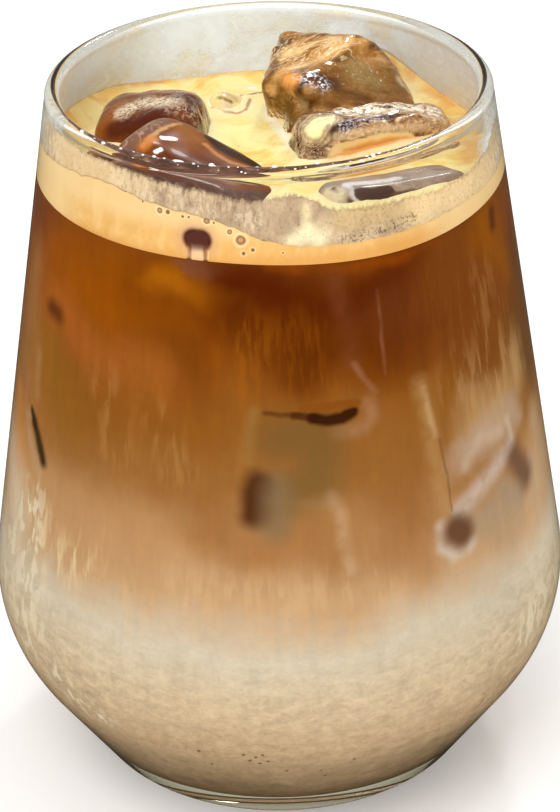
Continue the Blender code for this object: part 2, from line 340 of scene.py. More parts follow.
def ice_reach(name, directions, blend=8):
    """How far a block reaches from its middle in directions of length 1."""
    outward, distances = ice_facets(name)
    sharpness = ICE[name][3]
    crossing = (np.maximum(directions @ outward.T, 0) / distances) ** sharpness
    reach = crossing.sum(axis=-1) ** (-1 / sharpness)
    if name not in ICE_FEET:
        return reach
    around, above, distance, spread = ICE_FEET[name]
    off = np.degrees(np.arccos(np.clip(directions @ direction_to(around, above), -1, 1)))
    foot = distance * np.exp(-((off / spread) ** 2))
    return (reach**blend + foot**blend) ** (1 / blend)


def distance_to_ice(points):
    """Distance from points to the nearest block, negative inside one."""
    nearest = np.full(len(points), np.inf)
    for name in ICE:
        away = points - (np.array(ICE[name][0]) + (0, 0, FOAM_TOP))
        length = np.maximum(np.linalg.norm(away, axis=1), 1e-6)
        nearest = np.minimum(nearest, length - ice_reach(name, away / length[:, None]))
    return nearest


def build_ice(name, material, number, melt_height, chip_height, steps=52):
    """A block of half-melted ice: the grid of a cube, blown up to the block's reach, with lumps on it."""
    melt_size, chip_size, chip_seed = 11, 3.2, SEED + 50
    line = np.tan(np.linspace(-1, 1, steps + 1) * math.pi / 4)
    points, faces = [], []
    for axis in range(3):
        for side in (-1, 1):
            grid = np.zeros((steps + 1, steps + 1, 3))
            grid[..., axis] = side
            grid[..., (axis + 1) % 3] = line[:, None]
            grid[..., (axis + 2) % 3] = line[None, :]
            faces += list(grid_faces(steps + 1, steps + 1, closed=False) + sum(map(len, points)))
            points.append(grid.reshape(-1, 3))
    middle, size = np.array(ICE[name][0]), np.array(ICE[name][1])
    directions = (np.concatenate(points) * size) @ ice_turn(name).T
    directions /= np.linalg.norm(directions, axis=1, keepdims=True)
    surface = directions * ice_reach(name, directions)[:, None]
    lumps = melt_height * Lumps(SEED + number, melt_size, 2)(surface)
    lumps += chip_height * Lumps(chip_seed + number, chip_size, 2)(surface)
    surface += directions * lumps[:, None]
    return piece_from(name + "_wet", surface + middle + (0, 0, FOAM_TOP), faces, material)


def foam_side(around, height):
    """The foam against the wall at a height, pressed in at the pierced bubble and its drips."""
    radius = wall_radius(height)
    across, up = (around - HOLE[0]) * radius * math.pi / 180, height - HOLE[1]
    drip_across, drip_up = DRIP_HALF
    hole = 1 - smooth_step(np.hypot(across / HOLE_HALF[0], up / HOLE_HALF[1]), 0.75, 1.1)
    drips = [np.hypot((across - at) / drip_across, (up + DRIP_BELOW) / drip_up) for at in DRIPS_ACROSS]
    pressed = np.maximum(hole, DRIP_SHARE * (1 - smooth_step(np.minimum(*drips), 0.6, 1.1)))
    return on_wall(around, height) * (1 - HOLE_DEPTH * pressed / radius)[:, None] ** [1, 1, 0]


def build_foam(material):
    """Foam over the drink: it clings to the wall and the ice, and is pierced at the front."""
    segments, side_steps, climb_steps, flat_steps, inset_end, least_radius = 720, 30, 15, 79, 33.6, 0.4
    edge_rag, rag_stretch, climb_power, away_reach, under_dip = 0.1, 0.6, 2.2, 3, 0.4
    cling_height, cling_reach, lump_height, grain_height = 0.6, 0.7, 0.22, 0.03
    around = np.linspace(-180, 180, segments, endpoint=False)
    lumps, grain = Lumps(SEED, 14), Lumps(SEED + 1, 2.4)
    ragged = grain(np.stack([around * rag_stretch, around * 0, around * 0], -1))
    low, edge = drink_top(around), edge_height(FOAM_EDGE, around) + edge_rag * ragged
    rows = [foam_side(around, low + (edge - low) * share) for share in np.linspace(0, 1, side_steps + 1)]
    on_climb, top_radius = np.linspace(0, CLIMB_REACH, climb_steps + 1)[1:], wall_radius(edge)
    for inset in [*on_climb, *np.linspace(CLIMB_REACH, inset_end, flat_steps + 1)[1:]]:
        flat = round_axis(np.maximum(top_radius - inset, least_radius), around, FOAM_TOP)
        climb = (edge - FOAM_TOP) * max(0.0, 1 - inset / CLIMB_REACH) ** climb_power
        cling = cling_height * np.exp(-np.maximum(distance_to_ice(flat), 0) / cling_reach)
        away = smooth_step(inset, 0, away_reach)
        flat[:, 2] += climb + away * (lump_height * lumps(flat) + cling) + grain_height * grain(flat)
        rows.append(flat)
    points, faces = capped(np.concatenate(rows), len(rows), segments, DRINK_TOP - under_dip, FOAM_TOP)
    piece = piece_from("foam", points, faces, material)
    places = vertices_of(piece)
    gap = wall_radius(places[:, 2]) - np.hypot(places[:, 0], places[:, 1])
    for name, distance, fade in (("near_ice", distance_to_ice(places), 1.6), ("near_wall", gap, 2.6)):
        paint_values(piece, name, np.exp(-np.maximum(distance, 0) / fade))
    return piece


def shell(name, outside, inside, material):
    """A closed piece between two grids of points."""
    rows, columns = outside.shape[:2]
    half = rows * columns
    sheet = grid_faces(rows, columns, closed=False)
    faces = [*sheet, *(sheet[:, ::-1] + half)]
    border = [*range(columns), *range(2 * columns - 1, half, columns)]
    border += [*range(half - 2, half - columns - 1, -1), *range(half - 2 * columns, 0, -columns)]
    for here, there in zip(border, border[1:] + border[:1]):
        faces.append((there, here, here + half, there + half))
    return piece_from(name, np.concatenate([outside.reshape(-1, 3), inside.reshape(-1, 3)]), faces, material)


def build_strip(name, ends, low, high, steps, thickness, fade, material):
    """A thin closed layer on the inside of the wall, between two directions and two edges.

    fade is how fast it starts at its ends, in millimetres a degree.
    """
    rows, start_steps, least, top_gap = 40, 8, 0.14, 0.3
    around, share = np.linspace(*ends, steps), np.linspace(0, 1, rows)[:, None]
    height = low(around) * (1 - share) + high(around) * share
    outside = on_wall(around, height, -FILM_INTO_WALL)
    coarse, grain = Lumps(SEED + 3, 6, 2)(outside), Lumps(SEED + 4, 0.9, 2)(outside)
    relief = thickness * np.clip(1 + 0.5 * coarse + 0.3 * grain, 0.3, 3)
    from_end = np.minimum(np.arange(steps), np.arange(steps)[::-1])
    thin = np.minimum(1, 8 * share * (1 - share)) * np.minimum(1, from_end / start_steps)
    inward = 1 - (least + relief * thin) / wall_radius(height, -FILM_INTO_WALL)
    piece = shell(name, outside, outside * inward[..., None] ** [1, 1, 0], material)
    places = vertices_of(piece)
    direction = np.degrees(np.arctan2(places[:, 0], -places[:, 1]))
    direction = np.where(direction < ends[0] - 1, direction + 360, direction)
    from_ends = np.minimum(direction - ends[0], ends[1] - direction) * fade
    paint_values(piece, "below_edge", np.minimum(high(direction) - top_gap - places[:, 2], from_ends))
    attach(piece, "root")


def on_bead(around, angle, lift):
    """A point on the rim's bead: degrees over it from the outside, and how far it is lifted off the glass."""
    out, angle = RIM_BEAD + lift, np.radians(angle)
    height = GLASS_HEIGHT - RIM_BEAD + out * np.sin(angle)
    return round_axis(RIM_RADIUS - WALL / 2 + out * np.cos(angle), around, height)


def build_wet_rim(material):
    """Coffee that lies along the inner top of the rim, tapered at both ends."""
    columns, rows, inner_edge, least_width, full_width = 420, 14, 121.0, 1.0, 40
    edge_rag, skin, swell_height, swell_rag, into_glass = 1.5, 0.01, 0.11, 0.15, -0.1
    table, share = np.array(WET_RIM), np.linspace(0, 1, rows)[:, None]
    around = np.linspace(table[0, 0], table[-1, 0], columns)
    ragged = Lumps(SEED + 5, 3.0, 3)(on_bead(around, 90, 0.0))
    low = np.interp(around, table[:, 0], table[:, 1]) + edge_rag * ragged
    low = np.minimum(low, inner_edge - least_width)
    angle = low * (1 - share) + inner_edge * share
    swell = np.sqrt(np.clip(4 * share * (1 - share), 0, 1)) * np.clip((inner_edge - low) / full_width, 0.1, 1)
    outside = on_bead(around, angle, skin + swell_height * swell * (1 + swell_rag * ragged))
    return shell("wet_rim", outside, on_bead(around, angle, into_glass), material)


def build_drops(material):
    """Small drops along the wet rim: those that stand out in the photograph, and tiny ones between."""
    rings, sides, proud, sunk = 6, 10, 0.02, 0.25
    draws = np.random.default_rng(SEED + 6)
    drops = list(RIM_DROPS)
    for _ in range(TINY_DROPS):
        drops.append([draws.uniform(*limits) for limits in TINY_DROP_LIMITS])
    tilt = np.linspace(0, math.pi, rings + 1)
    ball, ball_faces = turned(list(zip(np.sin(tilt), np.cos(tilt))), sides)
    ball = ball[:, (1, 0, 2)] * (-1, 1, 1)
    points, faces = [], []
    for around, angle, size, length in drops:
        turned_by = np.array(Matrix.Rotation(math.radians(around), 3, "Z"))
        middle = on_bead(around, angle, sunk * size + proud)
        faces += [np.array(face) + len(ball) * len(points) for face in ball_faces]
        points.append(ball * (size * length, size, size) @ turned_by.T + middle)
    return piece_from("rim_drops", np.concatenate(points), faces, material)


# Materials


class Field:
    """A number, colour or vector that a material's nodes work out."""

    def __init__(self, paint, socket):
        self.paint, self.socket = paint, socket

    def __add__(self, other):
        return self.paint.math("ADD", self, other)

    def __sub__(self, other):
        return self.paint.math("SUBTRACT", self, other)

    def __rsub__(self, other):
        return self.paint.math("SUBTRACT", other, self)

    def __mul__(self, other):
        return self.paint.math("MULTIPLY", self, other)

    __radd__, __rmul__ = __add__, __mul__


class Paint:
    """A new material or world, and short calls for the nodes that it is made of."""

    def __init__(self, name, collection=bpy.data.materials):
        self.owner = collection.new(name)
        self.owner.use_nodes = True
        self.tree = self.owner.node_tree
        self.tree.nodes.clear()

    @cached_property
    def place(self):
        """The point that is painted, in millimetres."""
        return self.vectors("SCALE", self.node("ShaderNodeTexCoord", "Object"), scale=1 / MM)

    def feed(self, socket, value):
        if isinstance(value, Field):
            self.tree.links.new(value.socket, socket)
        else:
            socket.default_value = value

    def node(self, kind, output=0, inputs=(), **settings):
        node = self.tree.nodes.new(kind)
        for name, value in settings.items():
            setattr(node, name, value)
        for key, value in dict(inputs).items():
            self.feed(node.inputs[key], value)
        return Field(self, node.outputs[output])

    def math(self, operation, first, second=0.0, clamp=False):
        return self.node("ShaderNodeMath", 0, {0: first, 1: second}, operation=operation, use_clamp=clamp)

    def vectors(self, operation, first, second=None, output="Vector", scale=None):
        given = {0: first, 1: second, "Scale": scale}.items()
        inputs = {key: value for key, value in given if value is not None}
        return self.node("ShaderNodeVectorMath", output, inputs, operation=operation)

    def xyz(self, vector):
        node = self.tree.nodes.new("ShaderNodeSeparateXYZ")
        self.feed(node.inputs[0], vector)
        return [Field(self, output) for output in node.outputs]

    def step(self, value, low, high, to_low=0.0, to_high=1.0):
        """Smoothly from to_low at low to to_high at high."""
        if low > high:
            low, high, to_low, to_high = high, low, to_high, to_low
        inputs = {"Value": value, "From Min": low, "From Max": high, "To Min": to_low, "To Max": to_high}
        return self.node("ShaderNodeMapRange", 0, inputs, interpolation_type="SMOOTHSTEP")

    def noise(self, size, detail=3.0, roughness=0.5, distortion=0.0, stretch=(1, 1, 1), place=None, output=0):
        """Noise from 0 to 1 whose lumps are about size millimetres across."""
        vector = self.vectors("MULTIPLY", place or self.place, tuple(factor / size for factor in stretch))
        inputs = {"Vector": vector, "Scale": 1.0, "Detail": detail, "Roughness": roughness}
        return self.node("ShaderNodeTexNoise", output, {**inputs, "Distortion": distortion})

    def cells(self, size):
        """Distance from the middle of cells about size millimetres across, as a share of size."""
        vector = self.vectors("SCALE", self.place, scale=1 / size)
        return self.node("ShaderNodeTexVoronoi", "Distance", {"Vector": vector, "Scale": 1.0})

    def warped(self, size, amount, place=None):
        """The place, moved about by up to half of amount millimetres."""
        shift = self.vectors("SUBTRACT", self.noise(size, 2.0, place=place, output="Color"), (0.5, 0.5, 0.5))
        return self.vectors("ADD", place or self.place, self.vectors("SCALE", shift, scale=amount))

    def ramp(self, value, stops):
        """A colour read off stops, each a value and screen colour."""
        low, high = stops[0][0], stops[-1][0]
        share = self.node("ShaderNodeMapRange", 0, {"Value": value, "From Min": low, "From Max": high})
        node = self.tree.nodes.new("ShaderNodeValToRGB")
        self.feed(node.inputs[0], share)
        elements = node.color_ramp.elements
        for _ in stops[2:]:
            elements.new(0.5)
        for element, (at, colour) in zip(elements, stops):
            element.position = (at - low) / (high - low)
            element.color = srgb(*colour)
        return Field(self, node.outputs[0])

    def mix(self, factor, first, second, blend="MIX"):
        """Two colours mixed; a colour may be a screen colour."""
        first, second = (srgb(*value) if isinstance(value, tuple) else value for value in (first, second))
        node = self.tree.nodes.new("ShaderNodeMix")
        node.data_type, node.blend_type = "RGBA", blend
        for socket, value in zip((node.inputs[0], node.inputs[6], node.inputs[7]), (factor, first, second)):
            self.feed(socket, value)
        return Field(self, node.outputs[2])

    def shaded(self, colour, brightness):
        """A colour made lighter or darker by a number round 1."""
        grey = self.node("ShaderNodeCombineColor", 0, {0: brightness, 1: brightness, 2: brightness})
        return self.mix(1.0, colour, grey, "MULTIPLY")

    def path_mask(self, place, path, half, soft=0.4):
        """1 within half of a path through points, 0 outside; a path of one point is a ball."""
        nearest = None
        path = [np.array(point, float) for point in path]
        for start, end in zip(path, path[1:] or path):
            along = end - start
            foot = tuple(start)
            if along @ along > 0:
                per_length = along / (along @ along)
                share = self.vectors("DOT_PRODUCT", place, tuple(per_length), "Value")
                share = self.math("SUBTRACT", share, float(start @ per_length), clamp=True)
                foot = self.vectors("ADD", self.vectors("SCALE", tuple(along), scale=share), foot)
            distance = self.vectors("DISTANCE", place, foot, "Value")
            nearest = distance if nearest is None else self.math("MINIMUM", nearest, distance)
        return self.step(nearest, half * (1 + soft), half * (1 - soft))

    def marks(self, colour, place, marks, shown=1.0):
        """Marks painted over a colour: each its path, half width, softness, screen colour and strength.

        A mark without a softness fades right up to its path.
        """
        for path, half, *soft, shade, strength in marks:
            mask = self.path_mask(place, path, half, *soft or [1.0])
            colour = self.mix(mask * (shown * strength), colour, shade)
        return colour

    def value(self, name):
        """A value that the mesh holds at its points."""
        return self.node("ShaderNodeAttribute", "Fac", attribute_name=name)

    def around_and_up(self):
        """Direction from the front in degrees and height in millimetres."""
        x, y, z = self.xyz(self.place)
        return self.math("ARCTAN2", x, 0.0 - y) * (180 / math.pi), z

    def bump(self, height, distance, normal=None):
        """Normals for a relief of distance millimetres."""
        inputs = {"Height": height, "Distance": distance * MM, "Strength": 1.0}
        if normal is not None:
            inputs["Normal"] = normal
        return self.node("ShaderNodeBump", 0, inputs)

    def surface(self, colour, roughness, normal=None, **inputs):
        """A Principled shader; further inputs are named by their sockets in lower case."""
        named = {"Base Color": colour, "Roughness": roughness}
        if normal is not None:
            named["Normal"] = normal
        for name, value in inputs.items():
            named[name.replace("_", " ").title().replace("Ior", "IOR")] = value
        return self.node("ShaderNodeBsdfPrincipled", 0, named)

    def done(self, shader, output="ShaderNodeOutputMaterial"):
        self.feed(self.tree.nodes.new(output).inputs["Surface"], shader)
        return self.owner


def clear_glass():
    """Glass that lets the lamps' light and what lights the drink straight through."""
    paint = Paint("clear_glass")
    _, _, up = paint.xyz(paint.place)
    colour = paint.mix(paint.step(up, 9.0, 3.5), (243, 245, 240), (196, 190, 160))
    waves = paint.noise(26, 1.0, stretch=(1, 1, 0.5))
    relief, tint = paint.bump(waves, 0.1), (0.5, 0.5, 0.5, 1.0)
    glass = paint.surface(colour, 0.0, relief, ior=1.5, transmission_weight=1.0, specular_tint=tint)
    rays = (paint.node("ShaderNodeLightPath", kind) for kind in ("Is Shadow Ray", "Is Diffuse Ray"))
    through, clear = paint.math("MAXIMUM", *rays), paint.node("ShaderNodeBsdfTransparent")
    return paint.done(paint.node("ShaderNodeMixShader", 0, {0: through, 1: glass, 2: clear}))


# Colours up the drink: height and colour
DRINK_COLOURS = [
    (8, (130, 106, 76)), (14, (168, 140, 106)), (22, (203, 172, 135)), (32, (219, 194, 160)),
    (40, (219, 202, 176)), (48, (207, 164, 120)), (57, (190, 141, 92)), (66, (162, 108, 54)),
    (75, (152, 94, 34)), (86, (148, 80, 20)), (95, (144, 72, 8)), (102, (140, 74, 18)),
]

# Clouds of coffee and milk: path of (around, height), half width, colour and strength
DRINK_CLOUDS = [
    ([(-80, 100), (-70, 99)], 5, (112, 56, 26), 0.8),
    ([(-76, 90), (-72, 72)], 4, (160, 108, 60), 0.7),
    ([(-56, 95), (-40, 95)], 6, (164, 84, 4), 0.9),
    ([(-30, 96), (-20, 90)], 5, (140, 68, 2), 0.7),
    ([(-26, 98.4), (-13, 98.6)], 2.2, (196, 112, 10), 0.8),
    ([(-22, 101.8), (-13, 101.6)], 1.1, (150, 100, 84), 0.5),
    ([(-10, 93), (-1, 88), (6, 86)], 3.6, (104, 44, 2), 0.6),
    ([(68, 82), (72, 74)], 3.4, (108, 62, 18), 0.6),
    ([(44, 55.5), (52, 55)], 3, (154, 128, 102), 0.6),
    ([(-58, 88), (-42, 83.5), (-27, 81)], 3.4, (184, 100, 38), 0.65),
    ([(-22, 88), (-20, 82)], 3.4, (124, 64, 8), 0.7),
    ([(-9, 100), (2, 97), (14, 95), (30, 97)], 5.5, (94, 31, 0), 1),
    ([(8, 88), (30, 88)], 6, (104, 44, 2), 0.85),
    ([(30, 93), (42, 88)], 5, (112, 54, 18), 0.8),
    ([(0, 102.4), (24, 101.8), (40, 102)], 1.1, (158, 72, 6), 0.7),
    ([(46, 96), (56, 88), (52, 82)], 5.5, (128, 68, 24), 0.75),
    ([(62, 97), (70, 90)], 4, (162, 90, 6), 0.8),
    ([(80, 90), (80, 72)], 4.5, (104, 60, 14), 0.6),
    ([(-63, 79), (-53, 73)], 5, (146, 94, 24), 0.7),
    ([(-42, 78), (-18, 74)], 5.5, (150, 88, 26), 0.7),
    ([(-26, 67), (-14, 66), (-12, 61)], 4, (158, 102, 50), 0.7),
    ([(19, 74), (25, 66), (27, 58)], 5, (156, 98, 44), 0.75),
    ([(22, 56), (30, 52)], 4, (180, 126, 78), 0.6),
    ([(-3, 56.5), (1, 60), (11, 57)], 4.4, (166, 110, 58), 0.75),
    ([(48, 72), (58, 70), (68, 74)], 3.6, (196, 150, 98), 0.8),
    ([(44, 66.5), (60, 67)], 3, (212, 182, 154), 0.65),
    ([(-55, 57), (-32, 55)], 5, (200, 150, 102), 0.6),
    ([(-80, 56), (-72, 48)], 5, (216, 192, 162), 0.8),
    ([(-79, 66), (-76, 62)], 3, (200, 128, 62), 0.6),
    ([(50, 54), (60, 52)], 4, (190, 158, 124), 0.8),
    ([(76, 60), (76, 52)], 4, (206, 172, 132), 0.7),
]

# Fine streaks: path, half width, colour and strength
DRINK_STREAKS = [
    ([(-7, 92), (-7, 82)], 2.6, (164, 94, 18), 0.35),
    ([(0, 90), (6, 91), (6, 83), (10, 82)], 3.2, (158, 90, 12), 0.3),
    ([(-41, 79), (-37, 70)], 3, (206, 156, 92), 0.22),
    ([(-27, 77), (-22, 69)], 2.4, (204, 152, 92), 0.2),
    ([(56, 90), (60, 80), (66, 74)], 4, (196, 146, 86), 0.26),
    ([(46, 78), (66, 74)], 4, (216, 174, 120), 0.26),
    ([(42, 92), (50, 84)], 4, (146, 84, 32), 0.25),
    ([(-60, 52), (-58, 46), (-46, 49)], 3.4, (240, 214, 166), 0.6),
    ([(-40, 48), (-10, 50), (20, 50)], 3, (228, 188, 140), 0.25),
]

# Frost on the ice that lies near the wall, by path and half width
DRINK_FROST = [
    ([(-65, 51), (-62, 40), (-63, 31)], 5), ([(-75, 43), (-73, 33)], 3), ([(-62, 28), (-42, 23)], 3),
    ([(60, 29), (72, 33)], 4.4),
]

# Wisps of milk: path, half width, colour and strength
DRINK_WISPS = [
    ([(-5, 79), (-6.5, 72)], 1, (176, 132, 72), 0.4),
    ([(33.6, 80), (34.8, 74), (36, 66), (37.2, 60)], 1.3, (204, 158, 100), 0.4),
    ([(34.6, 79), (36.4, 71)], 0.5, (222, 184, 134), 0.4),
    ([(14.6, 99), (16.4, 92), (17.6, 86)], 1.3, (136, 76, 42), 0.4),
    ([(24.8, 96), (25.2, 83)], 0.26, (176, 112, 80), 0.35),
    ([(18, 85.5), (19.8, 83), (22.6, 80.6)], 0.45, (186, 132, 98), 0.35),
    ([(20.6, 79), (21, 77), (19, 75.4), (13, 75.2)], 1.1, (186, 140, 104), 0.45),
    ([(11, 65.6), (13.2, 62), (13.2, 58), (14.6, 53)], 0.95, (218, 178, 140), 0.4),
    ([(-2, 65.4), (6, 64.6), (11, 64)], 0.8, (188, 150, 108), 0.4),
    ([(41.2, 57.4), (46, 59), (51.5, 60.2), (56, 61.4), (60, 62.4)], 1.5, (222, 202, 188), 0.65),
    ([(61.2, 63.2), (60.4, 67)], 0.6, (230, 206, 182), 0.5),
    ([(44, 64), (50, 67), (57, 65.6)], 1, (224, 196, 170), 0.4),
    ([(35.8, 56), (35.8, 52.6), (38.4, 50.6), (43, 51)], 1.1, (218, 198, 180), 0.75),
    ([(69, 57), (69.4, 53.4), (67.6, 50)], 1.3, (208, 184, 160), 0.55),
    ([(-67, 78), (-66, 71)], 1, (186, 142, 90), 0.45),
    ([(-69.6, 66), (-67, 62.4), (-62.6, 59)], 1.2, (200, 166, 128), 0.5),
]

# What lies against the wall, most of it ice: path, half width, softness, colour and strength
DRINK_MARKS = [
    ([(1, 75), (9, 74.5), (8, 68), (1, 66)], 3.6, 0.9, (126, 92, 46), 0.8),
    ([(-1, 67), (-1, 61)], 2.4, 0.9, (140, 114, 82), 0.7),
    ([(37.6, 70), (38.4, 64), (38.9, 58)], 0.24, 0.9, (120, 72, 44), 0.5),
    ([(-62.4, 86.7), (-59.2, 86.4)], 1.5, 0.9, (104, 52, 12), 0.95),
    ([(-67.6, 67.6), (-65.6, 65.8)], 0.7, 0.8, (56, 36, 10), 0.95),
    ([(-65.8, 66), (-63.4, 64.4), (-60.4, 61.4)], 1.15, 0.8, (58, 36, 10), 0.97),
    ([(-2.5, 79), (5, 78.6)], 0.4, 0.9, (92, 50, 22), 0.75),
    ([(4, 78.4), (8.4, 78)], 0.6, 0.7, (76, 36, 12), 0.85),
    ([(8, 77.9), (11.4, 77.4), (14.4, 77.4), (16.8, 78.2)], 0.95, 0.5, (58, 24, 6), 0.98),
    ([(6, 79.6), (18, 79.4)], 0.7, 0.4, (142, 78, 20), 0.9),
    ([(-4.4, 68), (-5, 66), (-5.4, 62.8)], 1.9, 0.8, (80, 38, 14), 0.97),
    ([(-2.4, 67.5), (-3, 62)], 1.5, 0.9, (122, 92, 62), 0.5),
    ([(55, 57), (61, 53)], 1.6, 0.9, (172, 150, 128), 0.5),
    ([(39.4, 54.5), (40.8, 53.7)], 2.5, 0.6, (110, 72, 48), 0.97),
    ([(61.4, 59.8), (65.2, 55.4)], 2.5, 0.8, (122, 84, 64), 0.9),
    ([(66.2, 97.6), (66.8, 99.6)], 1.1, 0.9, (96, 44, 14), 0.85),
]

# Tiny dark bubbles near the foot of the drink: around and height
DRINK_BUBBLES = [
    (-8.4, 20.6), (-7.2, 19.2), (-6, 20.2), (-5.2, 18.4), (-4.4, 20.8), (-3.4, 19), (0.6, 16.2), (8.4, 15.6),
    (9.6, 13.4), (-16, 17.2), (-18, 20.4), (15.5, 17.8),
]


def wall_path(path):
    """A path of (around, height) as points on the inside of the glass."""
    return [tuple(on_wall(*point)) for point in path]


def wall_marks(marks):
    """Marks whose paths run over the inside of the glass."""
    return [(wall_path(path), *rest) for path, *rest in marks]


def coffee_and_milk():
    """Dark coffee over milk, the clouds where they mix, and the ice that lies against the wall."""
    paint = Paint("coffee_and_milk")
    around, up = paint.around_and_up()
    from_front = paint.math("ABSOLUTE", around)
    cloud = paint.noise(26, 3.0, 0.55, 0.5) - 0.5
    fine = paint.noise(6, 3.0, 0.6, 0.6) - 0.5
    streaks = paint.noise(1.9, 3.0, 0.6, 0.2, stretch=(1, 1, 0.09)) - 0.5
    needles = paint.noise(0.75, 2.0, 0.6, 0.1, stretch=(1, 1, 0.1))
    lowest, highest = DRINK_COLOURS[0][0], DRINK_COLOURS[-1][0]
    level = paint.math("MAXIMUM", up + cloud * 9.0 + fine * 3.0 + streaks * 4.0, lowest)
    colour = paint.ramp(paint.math("MINIMUM", level, highest), DRINK_COLOURS)

    behind, patches = paint.step(from_front, 84.0, 110.0), paint.noise(22, 3.0, 0.5, 0.8)
    dark = behind * paint.step(patches, 0.5, 0.62) * paint.step(up, 72, 86)
    colour = paint.mix(dark * 0.85, colour, (100, 42, 6))
    warm = behind * paint.step(patches, 0.47, 0.36) * paint.step(up, 66, 80)
    colour = paint.mix(warm * 0.6, colour, (178, 100, 40))

    drift = paint.warped(14, 11.0, paint.warped(4.0, 2.2))
    colour = paint.marks(colour, drift, wall_marks(DRINK_CLOUDS))
    shown = paint.step(needles * 0.2 + streaks * 0.8, 0.07, 0.19)
    colour = paint.marks(colour, paint.warped(6.0, 3.0), wall_marks(DRINK_STREAKS), shown)

    mottle = paint.noise(3.4, 5.0, 0.7, 0.5, stretch=(1, 1, 2.2)) - 0.5
    speckle = paint.noise(0.7, 3.0, 0.7, stretch=(1, 1, 1.3)) - 0.5
    low = paint.step(up, 46, 28)
    at_sides = paint.step(from_front, 28, 64) * paint.step(from_front, 112, 84)
    colour = paint.shaded(
        colour, 1.0 + mottle * (0.14 + low * (0.75 + at_sides * 0.6)) + speckle * (0.06 + low * 0.4)
        + streaks * (0.3 - low * 0.2) + (needles - 0.5) * (0.1 - low * 0.05),
    )
    # Painted light: lighter towards the sides, the right one only low down, where less light reaches.
    left = paint.step(around, -50, -72) * paint.step(around, -110, -88)
    right = paint.step(around, 50, 72) * paint.step(around, 110, 88) * paint.step(up, 72, 58)
    colour = paint.shaded(colour, 1.0 + (left + right) * 0.26)

    sides = 0.0
    for path, half in DRINK_FROST:
        sides = paint.math("MAXIMUM", paint.path_mask(drift, wall_path(path), half, 0.8), sides)
    flakes = paint.noise(1.9, 2.0, 0.5, stretch=(1, 1, 0.5))
    colour = paint.mix(sides * 0.35, colour, (190, 170, 136))
    colour = paint.mix(paint.step(flakes, 0.49, 0.57) * sides * 0.9, colour, (246, 228, 196))
    ripples = paint.noise(1.6, 4.0, 0.7, 0.6, stretch=(1, 1, 1.6))
    pale = paint.step(ripples, 0.53, 0.62) * paint.step(up, 36, 28) * paint.step(up, 17, 22)
    colour = paint.mix(pale * (0.25 + sides * 0.4), colour, (238, 208, 168))

    close = paint.warped(3.0, 0.7)
    broken = paint.step(paint.noise(3.0, 2.0, 0.5), 0.3, 0.6, 0.5, 1.0)
    colour = paint.marks(colour, close, wall_marks(DRINK_WISPS), broken)
    colour = paint.marks(colour, close, wall_marks(DRINK_MARKS))
    bubbles = [([spot], 0.28, 0.5, (84, 60, 34), 0.8) for spot in DRINK_BUBBLES]
    colour = paint.marks(colour, close, wall_marks(bubbles))
    return paint.done(paint.surface(paint.shaded(colour, 0.74), 0.6, specular_ior_level=0.0))


# Marks on top of the foam: path of (x, y), half width, softness, colour and strength
FOAM_MARKS = [
    ([(27.2, 11.3), (30.1, 7.1), (31.3, 1.1)], 1.3, 0.9, (240, 172, 92), 0.7),
    ([(29.1, 3.2), (29.6, -3)], 0.8, 0.9, (236, 164, 84), 0.6),
    ([(29.2, 17.4), (26, 21)], 1.2, 0.9, (244, 180, 98), 0.7),
    ([(-27.5, 20.6), (-24.4, 25.5), (-17.9, 28.6)], 1.3, 0.9, (240, 178, 96), 0.7),
    ([(-25, 18), (-20, 23), (-12, 25)], 0.7, 0.9, (255, 238, 176), 0.6),
    ([(-3.2, 3), (-6.3, 7.2)], 3.2, 0.9, (255, 246, 172), 0.7),
    ([(-9.1, 16.3), (-7.1, 14.1), (-5.2, 14), (-3.8, 15.9)], 0.32, 0.7, (196, 146, 116), 0.9),
    ([(-3.8, 15.9), (-3.1, 19.2)], 0.3, 0.7, (158, 118, 88), 0.8),
    ([(-4.5, 20.6), (-1.1, 22.5)], 0.34, 0.7, (124, 92, 66), 0.85),
    # Painted highlight: a white spot on the foam beside the tip.
    ([(-2.8, 25.1)], 0.7, 0.6, (255, 253, 250), 0.95),
    ([(-0.4, 14.5), (0.4, 10.6), (1.5, 6.8), (2.5, 3.2), (3.2, 0.4)], 0.6, 0.9, (255, 250, 226), 0.8),
    ([(9.2, -5.2), (14, -1.8), (20, 1), (25, 3.4)], 0.9, 0.6, (234, 154, 70), 0.9),
    ([(8.4, -6.6), (14, -3), (20, 0), (26, 3)], 0.45, 0.6, (255, 232, 180), 0.9),
]


